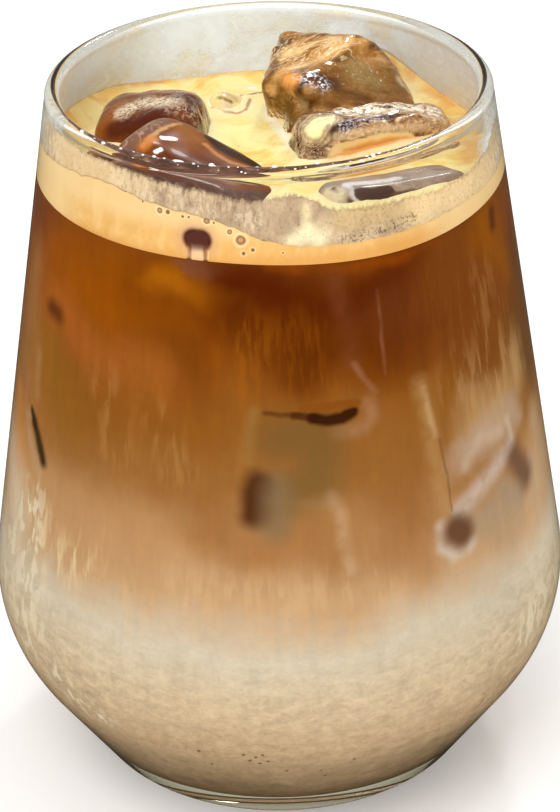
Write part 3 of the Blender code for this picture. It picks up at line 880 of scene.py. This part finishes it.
def coffee_foam():
    """Cream-coloured foam: palest by the ice, tan where it thins out on the glass."""
    paint = Paint("coffee_foam")
    around, up = paint.around_and_up()
    near_ice, near_wall = paint.value("near_ice"), paint.value("near_wall")
    flow = paint.noise(9, 4.0, 0.62, 1.6)
    colour = paint.ramp(flow, [(0.34, (243, 194, 98)), (0.46, (251, 222, 128)), (0.6, (255, 241, 170))])
    rings = paint.step(paint.noise(6, 3.0, 0.6, 0.9), 0.5, 0.6)
    colour = paint.mix(near_wall * 0.75, colour, (247, 202, 124))
    colour = paint.mix(rings * near_wall * 0.9, colour, (234, 164, 84))
    colour = paint.mix(near_ice * 0.85, colour, (255, 243, 196))

    streak = paint.noise(3.5, 4.0, 0.65, 0.6, stretch=(1, 1, 0.6))
    side = paint.ramp(streak, [(0.3, (212, 160, 90)), (0.5, (221, 171, 102)), (0.7, (229, 187, 122))])
    for value, start, end, strength, shade in (
        (up, 103.9, 101.9, 0.75, (210, 148, 74)), (up, 104.5, 108, 0.7, (231, 198, 142)),
        (around, 34, 52, 0.75, (233, 200, 146)), (around, -50, -66, 0.7, (238, 206, 150)),
    ):
        side = paint.mix(paint.step(value, start, end) * strength, side, shade)
    on_side = paint.step(near_wall, 0.93, 0.99)
    colour = paint.mix(on_side, colour, side)

    place = paint.warped(2.0, 0.35)
    around_hole, up_hole = HOLE
    hole = [(around_hole - 0.9, up_hole), (around_hole + 0.9, up_hole)]
    marks = [
        (hole, 2.4, 0.7, (196, 142, 112), 0.7), (hole, 1.7, 0.25, (76, 24, 8), 1),
        ([(around_hole - 0.6, 102.8), (around_hole + 0.6, 102.8)], 1, 0.8, (236, 196, 158), 0.6),
    ]
    for shift in (-2.0, 2.1):
        drip = [(around_hole + shift, up_hole - drop) for drop in (0.6, 3.2)]
        marks.append((drip, 0.34, 0.5, (112, 52, 24), 0.9))
    for *spot, radius in WALL_BUBBLES:
        marks.append(([spot], radius * 1.5, 0.3, (250, 222, 176), 0.5))
        marks.append(([spot], radius * 0.95, 0.3, (124, 70, 32), 0.9))
        if radius > 0.4:
            marks.append(([spot], radius * 0.5, 0.5, (206, 156, 100), 0.75))
    on_top = [([(x, y, FOAM_TOP + 0.3) for x, y in path], *rest) for path, *rest in FOAM_MARKS]
    colour = paint.marks(colour, place, on_top + wall_marks(marks))

    pins = paint.step(paint.cells(2.3), 0.11, 0.06) * paint.step(flow, 0.5, 0.4)
    colour = paint.mix(pins * (1.0 - on_side) * 0.6, colour, (190, 128, 66))
    pores, grain = paint.step(paint.cells(0.9), 0.05, 0.22), paint.noise(0.8, 3.0, 0.6)
    relief = paint.bump(pores, 0.03, paint.bump(grain, 0.06))
    return paint.done(paint.surface(colour, 0.5, relief, specular_ior_level=0.12))


def ice_marks(marks):
    """Marks whose paths are given with their height above the foam."""
    return [([(x, y, z + FOAM_TOP) for x, y, z in path], *rest) for path, *rest in marks]


def wet_ice(
    name, colours, swirl, marks, veins=(), flecks=(), smooth=(), grit=0.3, roughness=0.12, relief=0.12,
    gloss=0.9,
):
    """Ice stained by the drink: swirls of a few colours, marks, fine lines, flecks and a wet gloss.

    swirl is its size, distortion, stretch and turn in degrees. Veins are a path, half width, spacing and
    colour, and follow the swirls. Flecks are a path, half width, size, share and colour. The smooth marks
    have no grit. Some marks and flecks are painted highlights, glints and shade.
    """
    paint = Paint(name)
    size, distortion, stretch, turn = swirl
    along = paint.node("ShaderNodeVectorRotate", 0, {"Vector": paint.place, "Angle": math.radians(-turn)})
    flow = paint.noise(size, 4.0, 0.6, distortion, stretch, along)
    stops = [(0.3 + 0.4 * index / (len(colours) - 1), colour) for index, colour in enumerate(colours)]
    place = paint.warped(2.6, 0.9, paint.warped(0.9, 0.4))
    colour = paint.marks(paint.ramp(flow, stops), place, ice_marks(marks))
    for path, half, spacing, shade in ice_marks(veins):
        line = paint.step(paint.math("PINGPONG", flow, spacing), spacing * 0.4, spacing * 0.1)
        colour = paint.mix(paint.path_mask(place, path, half, 0.5) * line, colour, shade)
    for path, half, grain, share, shade in ice_marks(flecks):
        shown = paint.step(paint.noise(grain, 3.0, 0.7, 0.8), 1.0 - share, 1.06 - share)
        colour = paint.mix(paint.path_mask(place, path, half, 0.7) * shown, colour, shade)
    fine = paint.noise(0.6, 2.0, 0.7)
    colour = paint.marks(paint.shaded(colour, 1.0 + (fine - 0.5) * (2 * grit)), place, ice_marks(smooth))
    return paint.done(paint.surface(
        colour, roughness, paint.bump(paint.noise(2.6, 3.0, 0.55, 0.6), relief), specular_ior_level=0.1,
        coat_weight=gloss, coat_roughness=0.02, coat_ior=1.33,
    ))


# A pale oval with rings round it, on the right block
LENS = [(6.8, -3.3, 4.4), (8.5, -1.0, 4.9)]

# Each block's material slot, the height of its two sizes of lumps, and what wet_ice paints
ICE_LOOKS = {}
ICE_LOOKS["ice_tall"] = dict(
    slot="ice_amber", swirl=(4.5, 1.3, (0.35, 1.2, 1), 42), relief=0.16, grit=0.5, lumps=(0.25, 0.07),
    colours=[(58, 32, 10), (108, 66, 24), (156, 106, 50), (206, 152, 88), (240, 200, 140)],
    marks=[
        ([(9.7, 10.4, 6.5), (14.5, 13, 5.2), (19.4, 15, 3.4)], 4.2, 0.4, (124, 80, 30), 0.85),
        ([(14.5, 15, 6.4), (16.2, 15.4, 5.8)], 2.6, 0.7, (150, 124, 74), 0.75),
        ([(6.4, 10.2, 7.6), (10.5, 10.6, 6.8)], 1.2, 0.6, (78, 46, 22), 0.85),
        ([(8, 9.4, 6.4), (11, 10.2, 4.8), (15, 11.4, 3)], 1, 0.7, (74, 42, 10), 0.8),
        ([(0.6, 13.6, 6.4), (0.2, 17, 6.8)], 1.1, 0.8, (98, 62, 26), 0.75),
        ([(17.6, 17, 5), (21.4, 18.6, 1.6)], 1.2, 0.8, (150, 96, 34), 0.7),
        ([(13.6, 19, 9), (16.3, 18.6, 7.2)], 1.6, 0.8, (158, 106, 46), 0.7),
        ([(18.5, 18.5, 5.6), (20.5, 18, 4)], 1.6, 0.8, (120, 84, 34), 0.6),
        ([(0.8, 9.6, 5), (2, 7.4, 2.4), (3.4, 4.4, 0.4)], 2.6, 0.5, (114, 78, 20), 0.9),
        ([(5.2, 8.7, 4.5), (5.6, 6.6, 2.4), (4.6, 4.6, 1)], 0.8, 0.7, (150, 130, 84), 0.5),
        ([(0.8, 14, 8), (1.5, 18.4, 8.9), (2.6, 22.2, 9.6)], 0.8, 0.7, (98, 68, 38), 0.75),
        ([(5.2, 22.9, 9.9), (8.4, 22.5, 10.2), (12.5, 21.4, 10.2)], 0.5, 0.8, (110, 76, 40), 0.65),
        ([(13.2, 20.6, 10), (10.7, 16.9, 9.2), (8.2, 15.2, 8.9), (4.2, 12.9, 8.3), (1.6, 11, 7.4),
          (0.4, 9.8, 5.9)], 0.95, 0.5, (220, 166, 100), 0.9),
        ([(12.4, 18.9, 9.6), (8.2, 15.2, 8.9), (3.2, 12.4, 8.2)], 0.3, 0.8, (250, 218, 164), 0.8),
        ([(3.6, 9.8, 7.6)], 1.5, 0.6, (240, 160, 78), 0.95),
        ([(20.4, 18.3, 3), (21.8, 17.6, 1.2)], 1, 0.6, (246, 226, 186), 0.9),
    ],
    veins=[
        ([(3.5, 16.9, 8.9), (5.9, 18.9, 9.4), (9.4, 19.6, 9.8)], 4.4, 0.045, (238, 206, 156)),
    ],
    flecks=[
        # The first two rows are painted glints: pale specks where light catches the wet ice.
        ([(5.6, 10.2, 7.8), (8, 9.4, 7)], 1.5, 0.7, 0.5, (228, 230, 238)),
        ([(10, 12.5, 7.8), (14, 14, 6.9), (17, 15, 5.6)], 2.4, 0.6, 0.37, (236, 214, 204)),
        ([(12, 19.6, 9.7), (15, 18.6, 8)], 1.6, 0.5, 0.36, (240, 216, 190)),
        ([(-0.3, 12, 0.5), (2, 8, 0.2), (3.4, 4, 0.2)], 1.5, 0.6, 0.52, (252, 236, 192)),
        ([(0.2, 9.8, 5.9), (1.7, 10.1, 2.3), (2.9, 8.1, 0.6)], 2, 0.8, 0.44, (176, 124, 52)),
        ([(0.4, 10.1, 4), (3.3, 9.3, 3.5)], 2.4, 0.6, 0.4, (84, 54, 14)),
    ],
)
ICE_LOOKS["ice_back_left"] = dict(
    slot="ice_brown", swirl=(7, 1, (0.6, 1, 1), 10), relief=0.10, grit=0.45, lumps=(0.2, 0.04),
    colours=[(74, 28, 6), (108, 52, 18), (142, 80, 36)],
    marks=[
        ([(-26.6, 5.8, 1.8), (-25, 6, 3.6), (-23.4, 8, 4.6)], 1.9, 0.5, (150, 84, 28), 0.9),
        ([(-24.4, 3.6, 2.2), (-21.6, 2.6, 3.6), (-19.4, 2.1, 5), (-17, 1.4, 5.8)], 1.5, 0.6,
         (88, 32, 4), 0.95),
        ([(-22.6, 6.2, 4.5), (-20.6, 7.4, 5.3), (-18.6, 7.4, 5.8), (-16.4, 5.4, 6.3), (-14.4, 3.2, 6.7)],
         1.5, 0.5, (160, 122, 84), 0.9),
        ([(-20.5, 12.4, 4.8), (-16.5, 10.4, 5.9), (-12.6, 8.6, 6.4)], 1, 0.7, (152, 92, 40), 0.8),
        ([(-13.2, 5.6, 6.8), (-11.6, 5, 6.4), (-11.2, 2.4, 5.2), (-11.2, 1.6, 4)], 1.7, 0.6,
         (84, 46, 24), 0.9),
        ([(-10.6, 7.6, 6), (-9.9, 6.3, 4.9), (-9.3, 5.8, 2.7), (-9.4, 4.5, 1)], 0.42, 0.6,
         (226, 190, 140), 0.85),
    ],
    flecks=[
        ([(-22.8, 6, 4.4), (-20.4, 7.4, 5.4), (-17.8, 6.8, 6), (-15.2, 4.2, 6.6)], 1.6, 0.6, 0.56,
         (226, 206, 176)),
        ([(-15, 2.6, 6.7), (-13.2, 1.6, 6.5), (-11.6, 1.6, 5.4)], 1.7, 0.7, 0.5, (190, 158, 132)),
        ([(-13.2, 7.5, 6.6), (-10.6, 6, 5.6)], 1.8, 0.6, 0.4, (190, 150, 112)),
    ],
)
ICE_LOOKS["ice_front_left"] = dict(
    slot="ice_milky", swirl=(14, 0.8, (1, 1, 1), 0), relief=0.01, roughness=0.3, gloss=0.12, grit=0.14,
    lumps=(0.12, 0),
    colours=[(108, 50, 4), (126, 64, 8), (144, 80, 20)],
    marks=[
        ([(-15, -17.4, 6.4), (-8.4, -16, 4.8)], 2.2, 0.8, (92, 38, 8), 0.75),
        ([(-13.5, -7.4, 7.2), (-11.5, -9.4, 6.4)], 1.6, 0.9, (156, 98, 36), 0.7),
        ([(-21.6, -15, 7.3), (-19.9, -11.8, 8.2), (-18.3, -8.5, 8), (-16.6, -6.4, 7.7)], 1.7, 0.4,
         (132, 94, 74), 0.92),
        ([(-14.6, -5.6, 7.4), (-12.6, -6.2, 6.8)], 0.5, 0.8, (120, 82, 56), 0.6),
        ([(-19.2, -15.3, 7.7), (-18.1, -13.4, 8.1), (-16.7, -10.1, 8), (-15, -7.6, 7.6),
          (-13.6, -6.2, 7)], 0.4, 0.7, (214, 166, 108), 0.85),
        ([(-19, -15.2, 7.6), (-17.6, -13.4, 8)], 0.9, 0.7, (206, 128, 62), 0.9),
        # Painted shade: the far side of the hump, behind its tail, is painted dark.
        ([(-8.8, -8, 5.3), (-7.4, -9.6, 4.9), (-5.8, -10.8, 4.3), (-4.2, -11.4, 3.5), (-2.4, -11.6, 2.6)],
         1.35, 0.3, (58, 32, 16), 0.97),
        ([(-9.8, -10.6, 5.6), (-8.2, -12.6, 5.1), (-5.8, -13.9, 4.1), (-2.8, -13.8, 2.6)], 0.5, 0.8,
         (196, 132, 78), 0.85),
        # Painted highlights: the two white patches on top of the hump.
        ([(-16.2, -12.4, 7.8), (-15.1, -12, 7.5), (-14.4, -11.8, 7.3)], 0.62, 0.2, (255, 252, 255), 1),
        ([(-17.1, -16.4, 7.2), (-16.4, -15.9, 7.3)], 0.45, 0.25, (255, 250, 250), 1),
        ([(-21.4, -17, 4.6), (-16.6, -19.2, 3.3), (-10.6, -21.2, 2.9), (-4.7, -21, 1.8),
          (-0.2, -17, 0.2)], 2.5, 0.25, (92, 60, 52), 0.95),
    ],
    veins=[
        ([(-21.6, -15, 7.3), (-19.9, -11.8, 8.2), (-17.6, -7.4, 7.9)], 1.5, 0.03, (178, 138, 114)),
        ([(-21.4, -17.2, 4.6), (-10.6, -21.2, 2.9), (-1, -19, 1)], 2.4, 0.03, (122, 82, 68)),
    ],
    flecks=[
        ([(-7.4, -8.9, 4.7), (-4.2, -11, 3.5)], 0.9, 0.4, 0.36, (226, 206, 186)),
        ([(-19.4, -10.6, 8.2), (-17, -7, 7.8)], 1, 0.5, 0.42, (84, 52, 38)),
    ],
)
ICE_LOOKS["ice_right"] = dict(
    slot="ice_speckled", swirl=(2.8, 2.6, (0.7, 1, 1), 20), relief=0.22, grit=0.7, lumps=(0.25, 0.09),
    colours=[(64, 34, 16), (128, 84, 48), (206, 168, 124), (244, 224, 184)],
    marks=[
        (LENS, 3.3, 0.12, (96, 60, 34), 0.85),
        (LENS, 2.9, 0.12, (226, 200, 158), 0.85),
        (LENS, 2.5, 0.12, (116, 76, 44), 0.85),
        (LENS, 2.2, 0.12, (232, 210, 170), 0.85),
        (LENS, 1.9, 0.12, (150, 112, 70), 0.8),
        ([(9.9, -3.3, 4), (11.8, -2.3, 4.5), (15.2, 0.4, 4.3), (19.8, 2.6, 3.7)], 0.9, 0.4,
         (66, 34, 18), 0.95),
        ([(10.4, -3.3, 3.3), (14.8, -1.5, 3.2), (19.5, 0.6, 2.8), (25, 2.9, 1.8)], 0.7, 0.6,
         (222, 192, 156), 0.8),
        ([(3.6, -1.4, 0.4), (4.4, -2.4, 1.6), (5.2, -4, 1.2), (7.2, -4.8, 1.3)], 1.5, 0.4,
         (62, 34, 16), 0.95),
        ([(25.5, 4, 2.2), (28, 5, 1)], 1.6, 0.9, (214, 184, 146), 0.8),
    ],
    smooth=[
        ([(8.6, -4.6, 0.3), (12.2, -2.8, 0.8), (17.1, -0.5, 0.9), (21.8, 1.5, 0.5)], 1.15, 0.25,
         (244, 212, 146), 0.95),
        ([(11.6, -3, 0.3), (14.6, -1.7, 0.8), (18, -0.1, 0.9), (21.4, 1.3, 0.5)], 0.62, 0.7,
         (222, 150, 66), 0.9),
        ([(9, -4, 1.6), (12, -2.8, 2), (17.1, -0.5, 2.1), (21.6, 1.4, 1.6)], 0.3, 0.6, (240, 212, 158), 0.85),
        (LENS, 1.6, 0.2, (253, 246, 182), 1),
    ],
    veins=[
        ([(4.6, -3.6, 1.6), (6.4, -5.2, 1.4)], 2.2, 0.05, (224, 186, 140)),
        ([(24, 4, 2.4), (27.5, 4.6, 1.6)], 2.4, 0.05, (140, 100, 66)),
        ([(10.4, 2.4, 5), (8, 3.4, 4.4)], 2.2, 0.05, (110, 72, 42)),
    ],
    flecks=[
        ([(12.6, 3.3, 4.4), (16.6, 4.8, 3.9), (20.6, 6.2, 3.6), (25.3, 5.8, 2.8)], 1.9, 1.2, 0.55,
         (252, 242, 218)),
        # Painted glints: bluish-white specks along the dark band.
        ([(11.4, -2.2, 4.5), (17.5, 1.6, 4.1)], 0.9, 0.5, 0.5, (226, 226, 240)),
        ([(6.4, -4.8, 0.6), (4.8, -3.6, 0.6)], 1.2, 0.7, 0.36, (226, 194, 150)),
        ([(11.6, -2.6, 2.6), (16.4, -0.6, 2.6), (22.4, 1.9, 2)], 0.8, 0.7, 0.42, (110, 72, 48)),
    ],
)
ICE_LOOKS["ice_front_right"] = dict(
    slot="ice_grey", swirl=(7, 1.4, (0.7, 1, 1), 20), relief=0.02, gloss=0.35, roughness=0.25, grit=0.25,
    lumps=(0.12, 0),
    colours=[(134, 110, 96), (160, 136, 120), (188, 164, 146)],
    marks=[
        ([(8, -17, 1.2), (9.4, -18.2, 1.2)], 1.8, 0.5, (238, 220, 184), 0.95),
        ([(9.2, -16.2, 1.9), (10.6, -18.4, 1.5), (12, -20.2, 0.8)], 0.4, 0.6, (92, 58, 42), 0.9),
        ([(11.4, -16, 2.4), (14.2, -15.4, 2.4), (18.4, -13.2, 2.2)], 0.95, 0.5, (238, 226, 226), 0.92),
        ([(11.2, -16.6, 2.2), (11.8, -18.6, 1.6), (13.4, -20, 0.8)], 0.6, 0.5, (240, 228, 226), 0.92),
        ([(22, -12.6, 2), (26, -11.4, 1.4)], 1.4, 0.9, (172, 148, 138), 0.6),
        ([(24.4, -9.5, 1.7), (27, -10, 1), (28.9, -11.3, -0.1)], 0.45, 0.6, (118, 76, 52), 0.9),
        ([(19, -16.4, 0.4), (24, -14.2, 0.2), (27.4, -12.8, -0.2)], 0.5, 0.7, (128, 96, 78), 0.7),
    ],
    flecks=[([(18, -15.6, 1.9), (24, -12.6, 1.6)], 1.6, 0.7, 0.42, (206, 182, 166))],
    smooth=[
        ([(13.4, -18.4, 1.6), (15.4, -18, 1.1), (17, -17.2, 1.1)], 1.35, 0.2, (72, 38, 24), 0.97),
        ([(18, -16.9, 0.7), (22, -15.2, 0.5)], 0.4, 0.6, (98, 64, 48), 0.85),
    ],
)
ICE_LOOKS["ice_tip"] = dict(
    slot="ice_foamy", swirl=(5, 1.4, (1, 1, 1), 0), relief=0.03, grit=0.2, lumps=(0.12, 0.02),
    colours=[(250, 220, 140), (254, 230, 156), (255, 240, 176)],
    marks=[
        ([(-10.2, 18.2, 2.2), (-8.4, 17.7, 2.2)], 0.2, 0.8, (120, 88, 56), 0.9),
        ([(-8.8, 17.8, 2.2), (-7.4, 17.4, 1.7), (-6.2, 17.2, 1.1)], 0.5, 0.6, (104, 76, 48), 0.95),
        ([(-6.8, 19, 2), (-5.4, 18.6, 1.2)], 0.8, 0.8, (206, 176, 134), 0.8),
        ([(-7.6, 16.2, 1.2), (-5.6, 16, 0.6)], 0.7, 0.8, (232, 206, 172), 0.7),
        ([(-4.4, 20.2, 0.9), (-3.6, 21, 0.5)], 0.4, 0.7, (128, 96, 68), 0.85),
        # Painted highlight: a white spot.
        ([(-3.9, 18.6, 0.5)], 0.5, 0.6, (255, 250, 246), 0.95),
    ],
)


# The film's parts: path on the wall, half width, softness, colour and strength
FILM_MARKS = [
    ([(-86, 111), (-46, 110.4)], 3.6, 0.8, (240, 210, 164), 0.9),
    ([(-46, 112), (-34, 112)], 2, 0.8, (222, 192, 150), 0.7),
    ([(-62, 111), (-46, 111.4)], 1.6, 0.8, (216, 182, 138), 0.8),
    ([(-12, 109), (2, 108.4)], 1.6, 0.9, (172, 146, 118), 0.6),
    ([(8.4, 110), (8.2, 107)], 0.7, 0.9, (240, 222, 174), 0.6),
    ([(5.2, 105.2), (8.2, 106.4), (11.4, 105.2)], 1.3, 0.9, (246, 230, 186), 0.8),
    ([(18, 108), (38, 107)], 2, 0.9, (204, 172, 120), 0.7),
    ([(40, 107), (58, 106), (86, 106)], 3, 0.8, (236, 203, 152), 0.85),
]


def dried_film():
    """Grainy film that foam leaves on glass, ragged at its top edge and full of fine specks."""
    paint = Paint("dried_film")
    drift = paint.noise(4, 3.0, 0.6, 0.8)
    colour = paint.ramp(drift, [(0.34, (164, 138, 112)), (0.5, (188, 160, 128)), (0.66, (206, 180, 146))])
    colour = paint.marks(colour, paint.warped(2.5, 1.2), wall_marks(FILM_MARKS))
    needles, grain = paint.noise(0.7, 3.0, 0.7, 0.3, stretch=(1, 1, 0.3)), paint.noise(0.45, 2.0, 0.8)
    colour = paint.shaded(colour, 0.66 + needles * 0.4 + grain * 0.28)
    frosted = paint.path_mask(paint.place, wall_path([(-40, 111.4), (-20, 110.4), (-4, 108.6)]), 1.8, 0.6)
    colour = paint.mix(frosted * paint.step(needles, 0.5, 0.62) * 0.45, colour, (226, 206, 178))
    colour = paint.mix(frosted * paint.step(needles, 0.42, 0.34) * 0.45, colour, (126, 100, 80))
    speckled = paint.path_mask(paint.place, wall_path([(18, 104.6), (36, 105.4)]), 0.9, 0.7)
    colour = paint.mix(speckled * paint.step(grain, 0.5, 0.42) * 0.8, colour, (112, 90, 68))
    ragged = paint.value("below_edge") + (needles - 0.5) * 1.8 + (drift - 0.5) * 1.2
    alpha = paint.step(ragged, 0.0, 0.9) * paint.step(grain, 0.2, 0.45, 0.5, 0.97)
    relief = paint.bump(needles, 0.1)
    return paint.done(paint.surface(colour, 0.7, relief, specular_ior_level=0.1, alpha=alpha))


def dried_haze():
    """Faint haze with frosty streaks on the glass above the foam, warmer in patches, denser at the sides."""
    paint = Paint("dried_haze")
    (around, _), below_edge = paint.around_and_up(), paint.value("below_edge")
    drift, streaks = paint.noise(12, 3.0, 0.6, 1.0), paint.noise(2.4, 5.0, 0.75, 0.8, stretch=(0.5, 0.5, 1))
    colour = paint.ramp(drift, [(0.36, (196, 202, 200)), (0.5, (208, 208, 198)), (0.62, (222, 212, 178))])
    veins = paint.step(streaks, 0.53, 0.62) * paint.step(drift, 0.4, 0.6)
    colour = paint.mix(veins * 0.7, colour, (240, 244, 244))
    sides = paint.step(paint.math("ABSOLUTE", around), 160, 124)
    colour = paint.mix(sides * 0.7, colour, (228, 226, 220))
    alpha = paint.step(drift, 0.3, 0.7, 0.22, 0.42) + veins * 0.25 + sides * 0.5
    ragged = below_edge + (drift - 0.5) * 0.5 + (streaks - 0.5) * 0.4
    alpha = alpha * paint.step(ragged, 0.03, 0.3) * paint.step(below_edge, 0.0, 0.08)
    return paint.done(paint.surface(colour, 0.6, specular_ior_level=0.2, alpha=alpha))


def wet_rim():
    """Coffee on the rim: dark, with paler streaks where it is thin."""
    paint = Paint("wet_rim_look")
    streaks = paint.noise(1.6, 3.0, 0.6, 0.6, stretch=(0.6, 1, 2))
    colour = paint.ramp(streaks, [(0.36, (74, 46, 34)), (0.54, (106, 72, 56)), (0.7, (156, 124, 102))])
    return paint.done(paint.surface(
        colour, 0.15, paint.bump(streaks, 0.08), specular_ior_level=0.2, coat_weight=0.8, coat_roughness=0.03,
    ))


def drops_painted_as_glints():
    """Drops painted white all over, as glints where they would catch the light."""
    paint = Paint("drops_painted_as_glints")
    # Painted glints: the drops are near white, though water is clear.
    shade = paint.ramp(paint.noise(0.8, 2.0), [(0.35, (224, 228, 236)), (0.65, (255, 255, 255))])
    relief = paint.bump(paint.noise(0.3, 1.0), 0.02)
    return paint.done(paint.surface(shade, 0.1, relief, specular_ior_level=0.5))


def build_films():
    """What has dried on the wall, and the coffee and drops on the rim."""
    build_strip(
        "film", FILM_ENDS, low=lambda around: edge_height(FOAM_EDGE, around) - 0.4,
        high=lambda around: edge_height(FILM_EDGE, around, spread=1.5) + 0.5,
        steps=520, thickness=0.1, fade=0.045, material=dried_film(),
    )
    build_strip(
        "haze", HAZE_ENDS, low=lambda around: edge_height(FOAM_EDGE, around) - 0.2,
        high=lambda around: np.full_like(around, HAZE_TOP),
        steps=400, thickness=0.03, fade=0.01, material=dried_haze(),
    )
    for piece in (build_wet_rim(wet_rim()), build_drops(drops_painted_as_glints())):
        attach(piece, "root")


def build_pieces():
    profile = [(0, FLOOR_HEIGHT), *reversed(inner_wall()), *rim_bead(), *outer_wall(), (0, 0)]
    tumbler = piece_from("tumbler", *turned(profile, TURN_STEPS), clear_glass())
    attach(tumbler, "root")
    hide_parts("glass")

    wall = [point for point in reversed(inner_wall(-INTO_WALL)) if point[1] < DRINK_TOP]
    top, flat_radius = DRINK_TOP - 0.02, 30.0
    top_ring = [(float(wall_radius(top)), top), (flat_radius, top)]
    points, faces = turned([(0, FLOOR_HEIGHT - INTO_WALL), *wall, *top_ring, (0, top)], TURN_STEPS)
    raised = points[:, 2] > top - 0.01
    points[raised, 2] = drink_top(np.degrees(np.arctan2(points[raised, 0], -points[raised, 1])))
    drink = piece_from("drink", points, faces, coffee_and_milk())
    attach(drink, "root")
    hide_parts("milk_layer", "latte_layer", "coffee_layer")

    foam = build_foam(coffee_foam())
    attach(foam, "root")
    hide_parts("foam_layer")

    build_films()

    for number, (name, look) in enumerate(ICE_LOOKS.items()):
        slot, lumps = look.pop("slot"), look.pop("lumps")
        block = build_ice(name, wet_ice(name + "_look", **look), number, *lumps)
        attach(block, "root")
        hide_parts(name)


# Stage


def seen_by_mirror(paint):
    """1 for what the first mirror image of the camera sees, 0 for everything else."""
    first = paint.math("LESS_THAN", paint.node("ShaderNodeLightPath", "Transmission Depth"), 0.5)
    return paint.node("ShaderNodeLightPath", "Is Glossy Ray") * first


def build_stage():
    """A pale floor, painted dark where mirrors see it, and white light from all round."""
    paint = Paint("pale_floor")
    # Painted reflection: the floor is dark in the first mirror image, so that glass and ice mirror it dark.
    colour = paint.mix(seen_by_mirror(paint), (255, 255, 254), (70, 66, 58))
    far, below = 4000, -0.3
    corners = [(-far, -far, below), (far, -far, below), (far, far, below), (-far, far, below)]
    look = paint.done(paint.surface(colour, 0.8, specular_ior_level=0.0))
    floor = piece_from("floor", corners, [(0, 1, 2, 3)], look)
    studio = Paint("studio", bpy.data.worlds)
    inputs = {"Value": seen_by_mirror(studio), "To Min": WORLD_LIGHT, "To Max": WORLD_IN_GLOSS}
    strength = studio.node("ShaderNodeMapRange", 0, inputs)
    light = studio.node("ShaderNodeBackground", 0, {"Color": (1, 1, 1, 1), "Strength": strength})
    bpy.context.scene.world = studio.done(light, "ShaderNodeOutputWorld")


def area_lamp(name, around, above, distance, size, power, seen_in_gloss=True):
    """A soft lamp that looks at the drink from a direction and height in degrees."""
    outward, looked_at = Vector(direction_to(around, above)), Vector((0, 0, 0.08))
    lamp = bpy.data.lights.new(name, "AREA")
    lamp.shape, lamp.energy = "RECTANGLE", power
    lamp.size, lamp.size_y = size
    holder = bpy.data.objects.new(name, lamp)
    holder.location = looked_at + outward * distance
    holder.rotation_euler = (-outward).to_track_quat("-Z", "Y").to_euler()
    holder.visible_glossy = seen_in_gloss
    bpy.context.scene.collection.objects.link(holder)


def build_camera():
    """The photograph's viewpoint, in metres and in degrees down, over and around; its frame is 560 x 812."""
    camera = bpy.data.cameras.new("camera")
    camera.sensor_fit, camera.sensor_height, camera.lens = "VERTICAL", 24.0, 85.14
    camera.clip_start, camera.clip_end = 0.01, 50
    eye, pitch, roll, yaw = (0, -0.414, 0.286), 28.75, -1.24, -0.09
    holder = bpy.data.objects.new("camera", camera)
    holder.matrix_world = Matrix.Translation(eye)
    for angle, axis in ((yaw, "Z"), (90 - pitch, "X"), (roll, "Z")):
        holder.matrix_world = holder.matrix_world @ Matrix.Rotation(math.radians(angle), 4, axis)
    bpy.context.scene.collection.objects.link(holder)
    bpy.context.scene.camera = holder


build_camera()
build_pieces()
build_stage()
area_lamp("key", -40, 62, 1.3, (0.9, 0.7), 6.0, seen_in_gloss=False)
area_lamp("low_front", 5, 4, 1.3, (2.4, 0.24), 9.0, seen_in_gloss=False)
area_lamp("window", 162, 42, 1.0, (0.10, 0.12), 1.6)
area_lamp("overhead", 120, 75, 1.2, (0.12, 0.10), 0.8)
scene = bpy.context.scene
scene.view_settings.view_transform = "Standard"
scene.cycles.use_denoising = True
scene.cycles.max_bounces = 18
scene.cycles.glossy_bounces = 12
scene.cycles.transmission_bounces = 12
scene.cycles.transparent_max_bounces = 16
scene.cycles.caustics_reflective = False
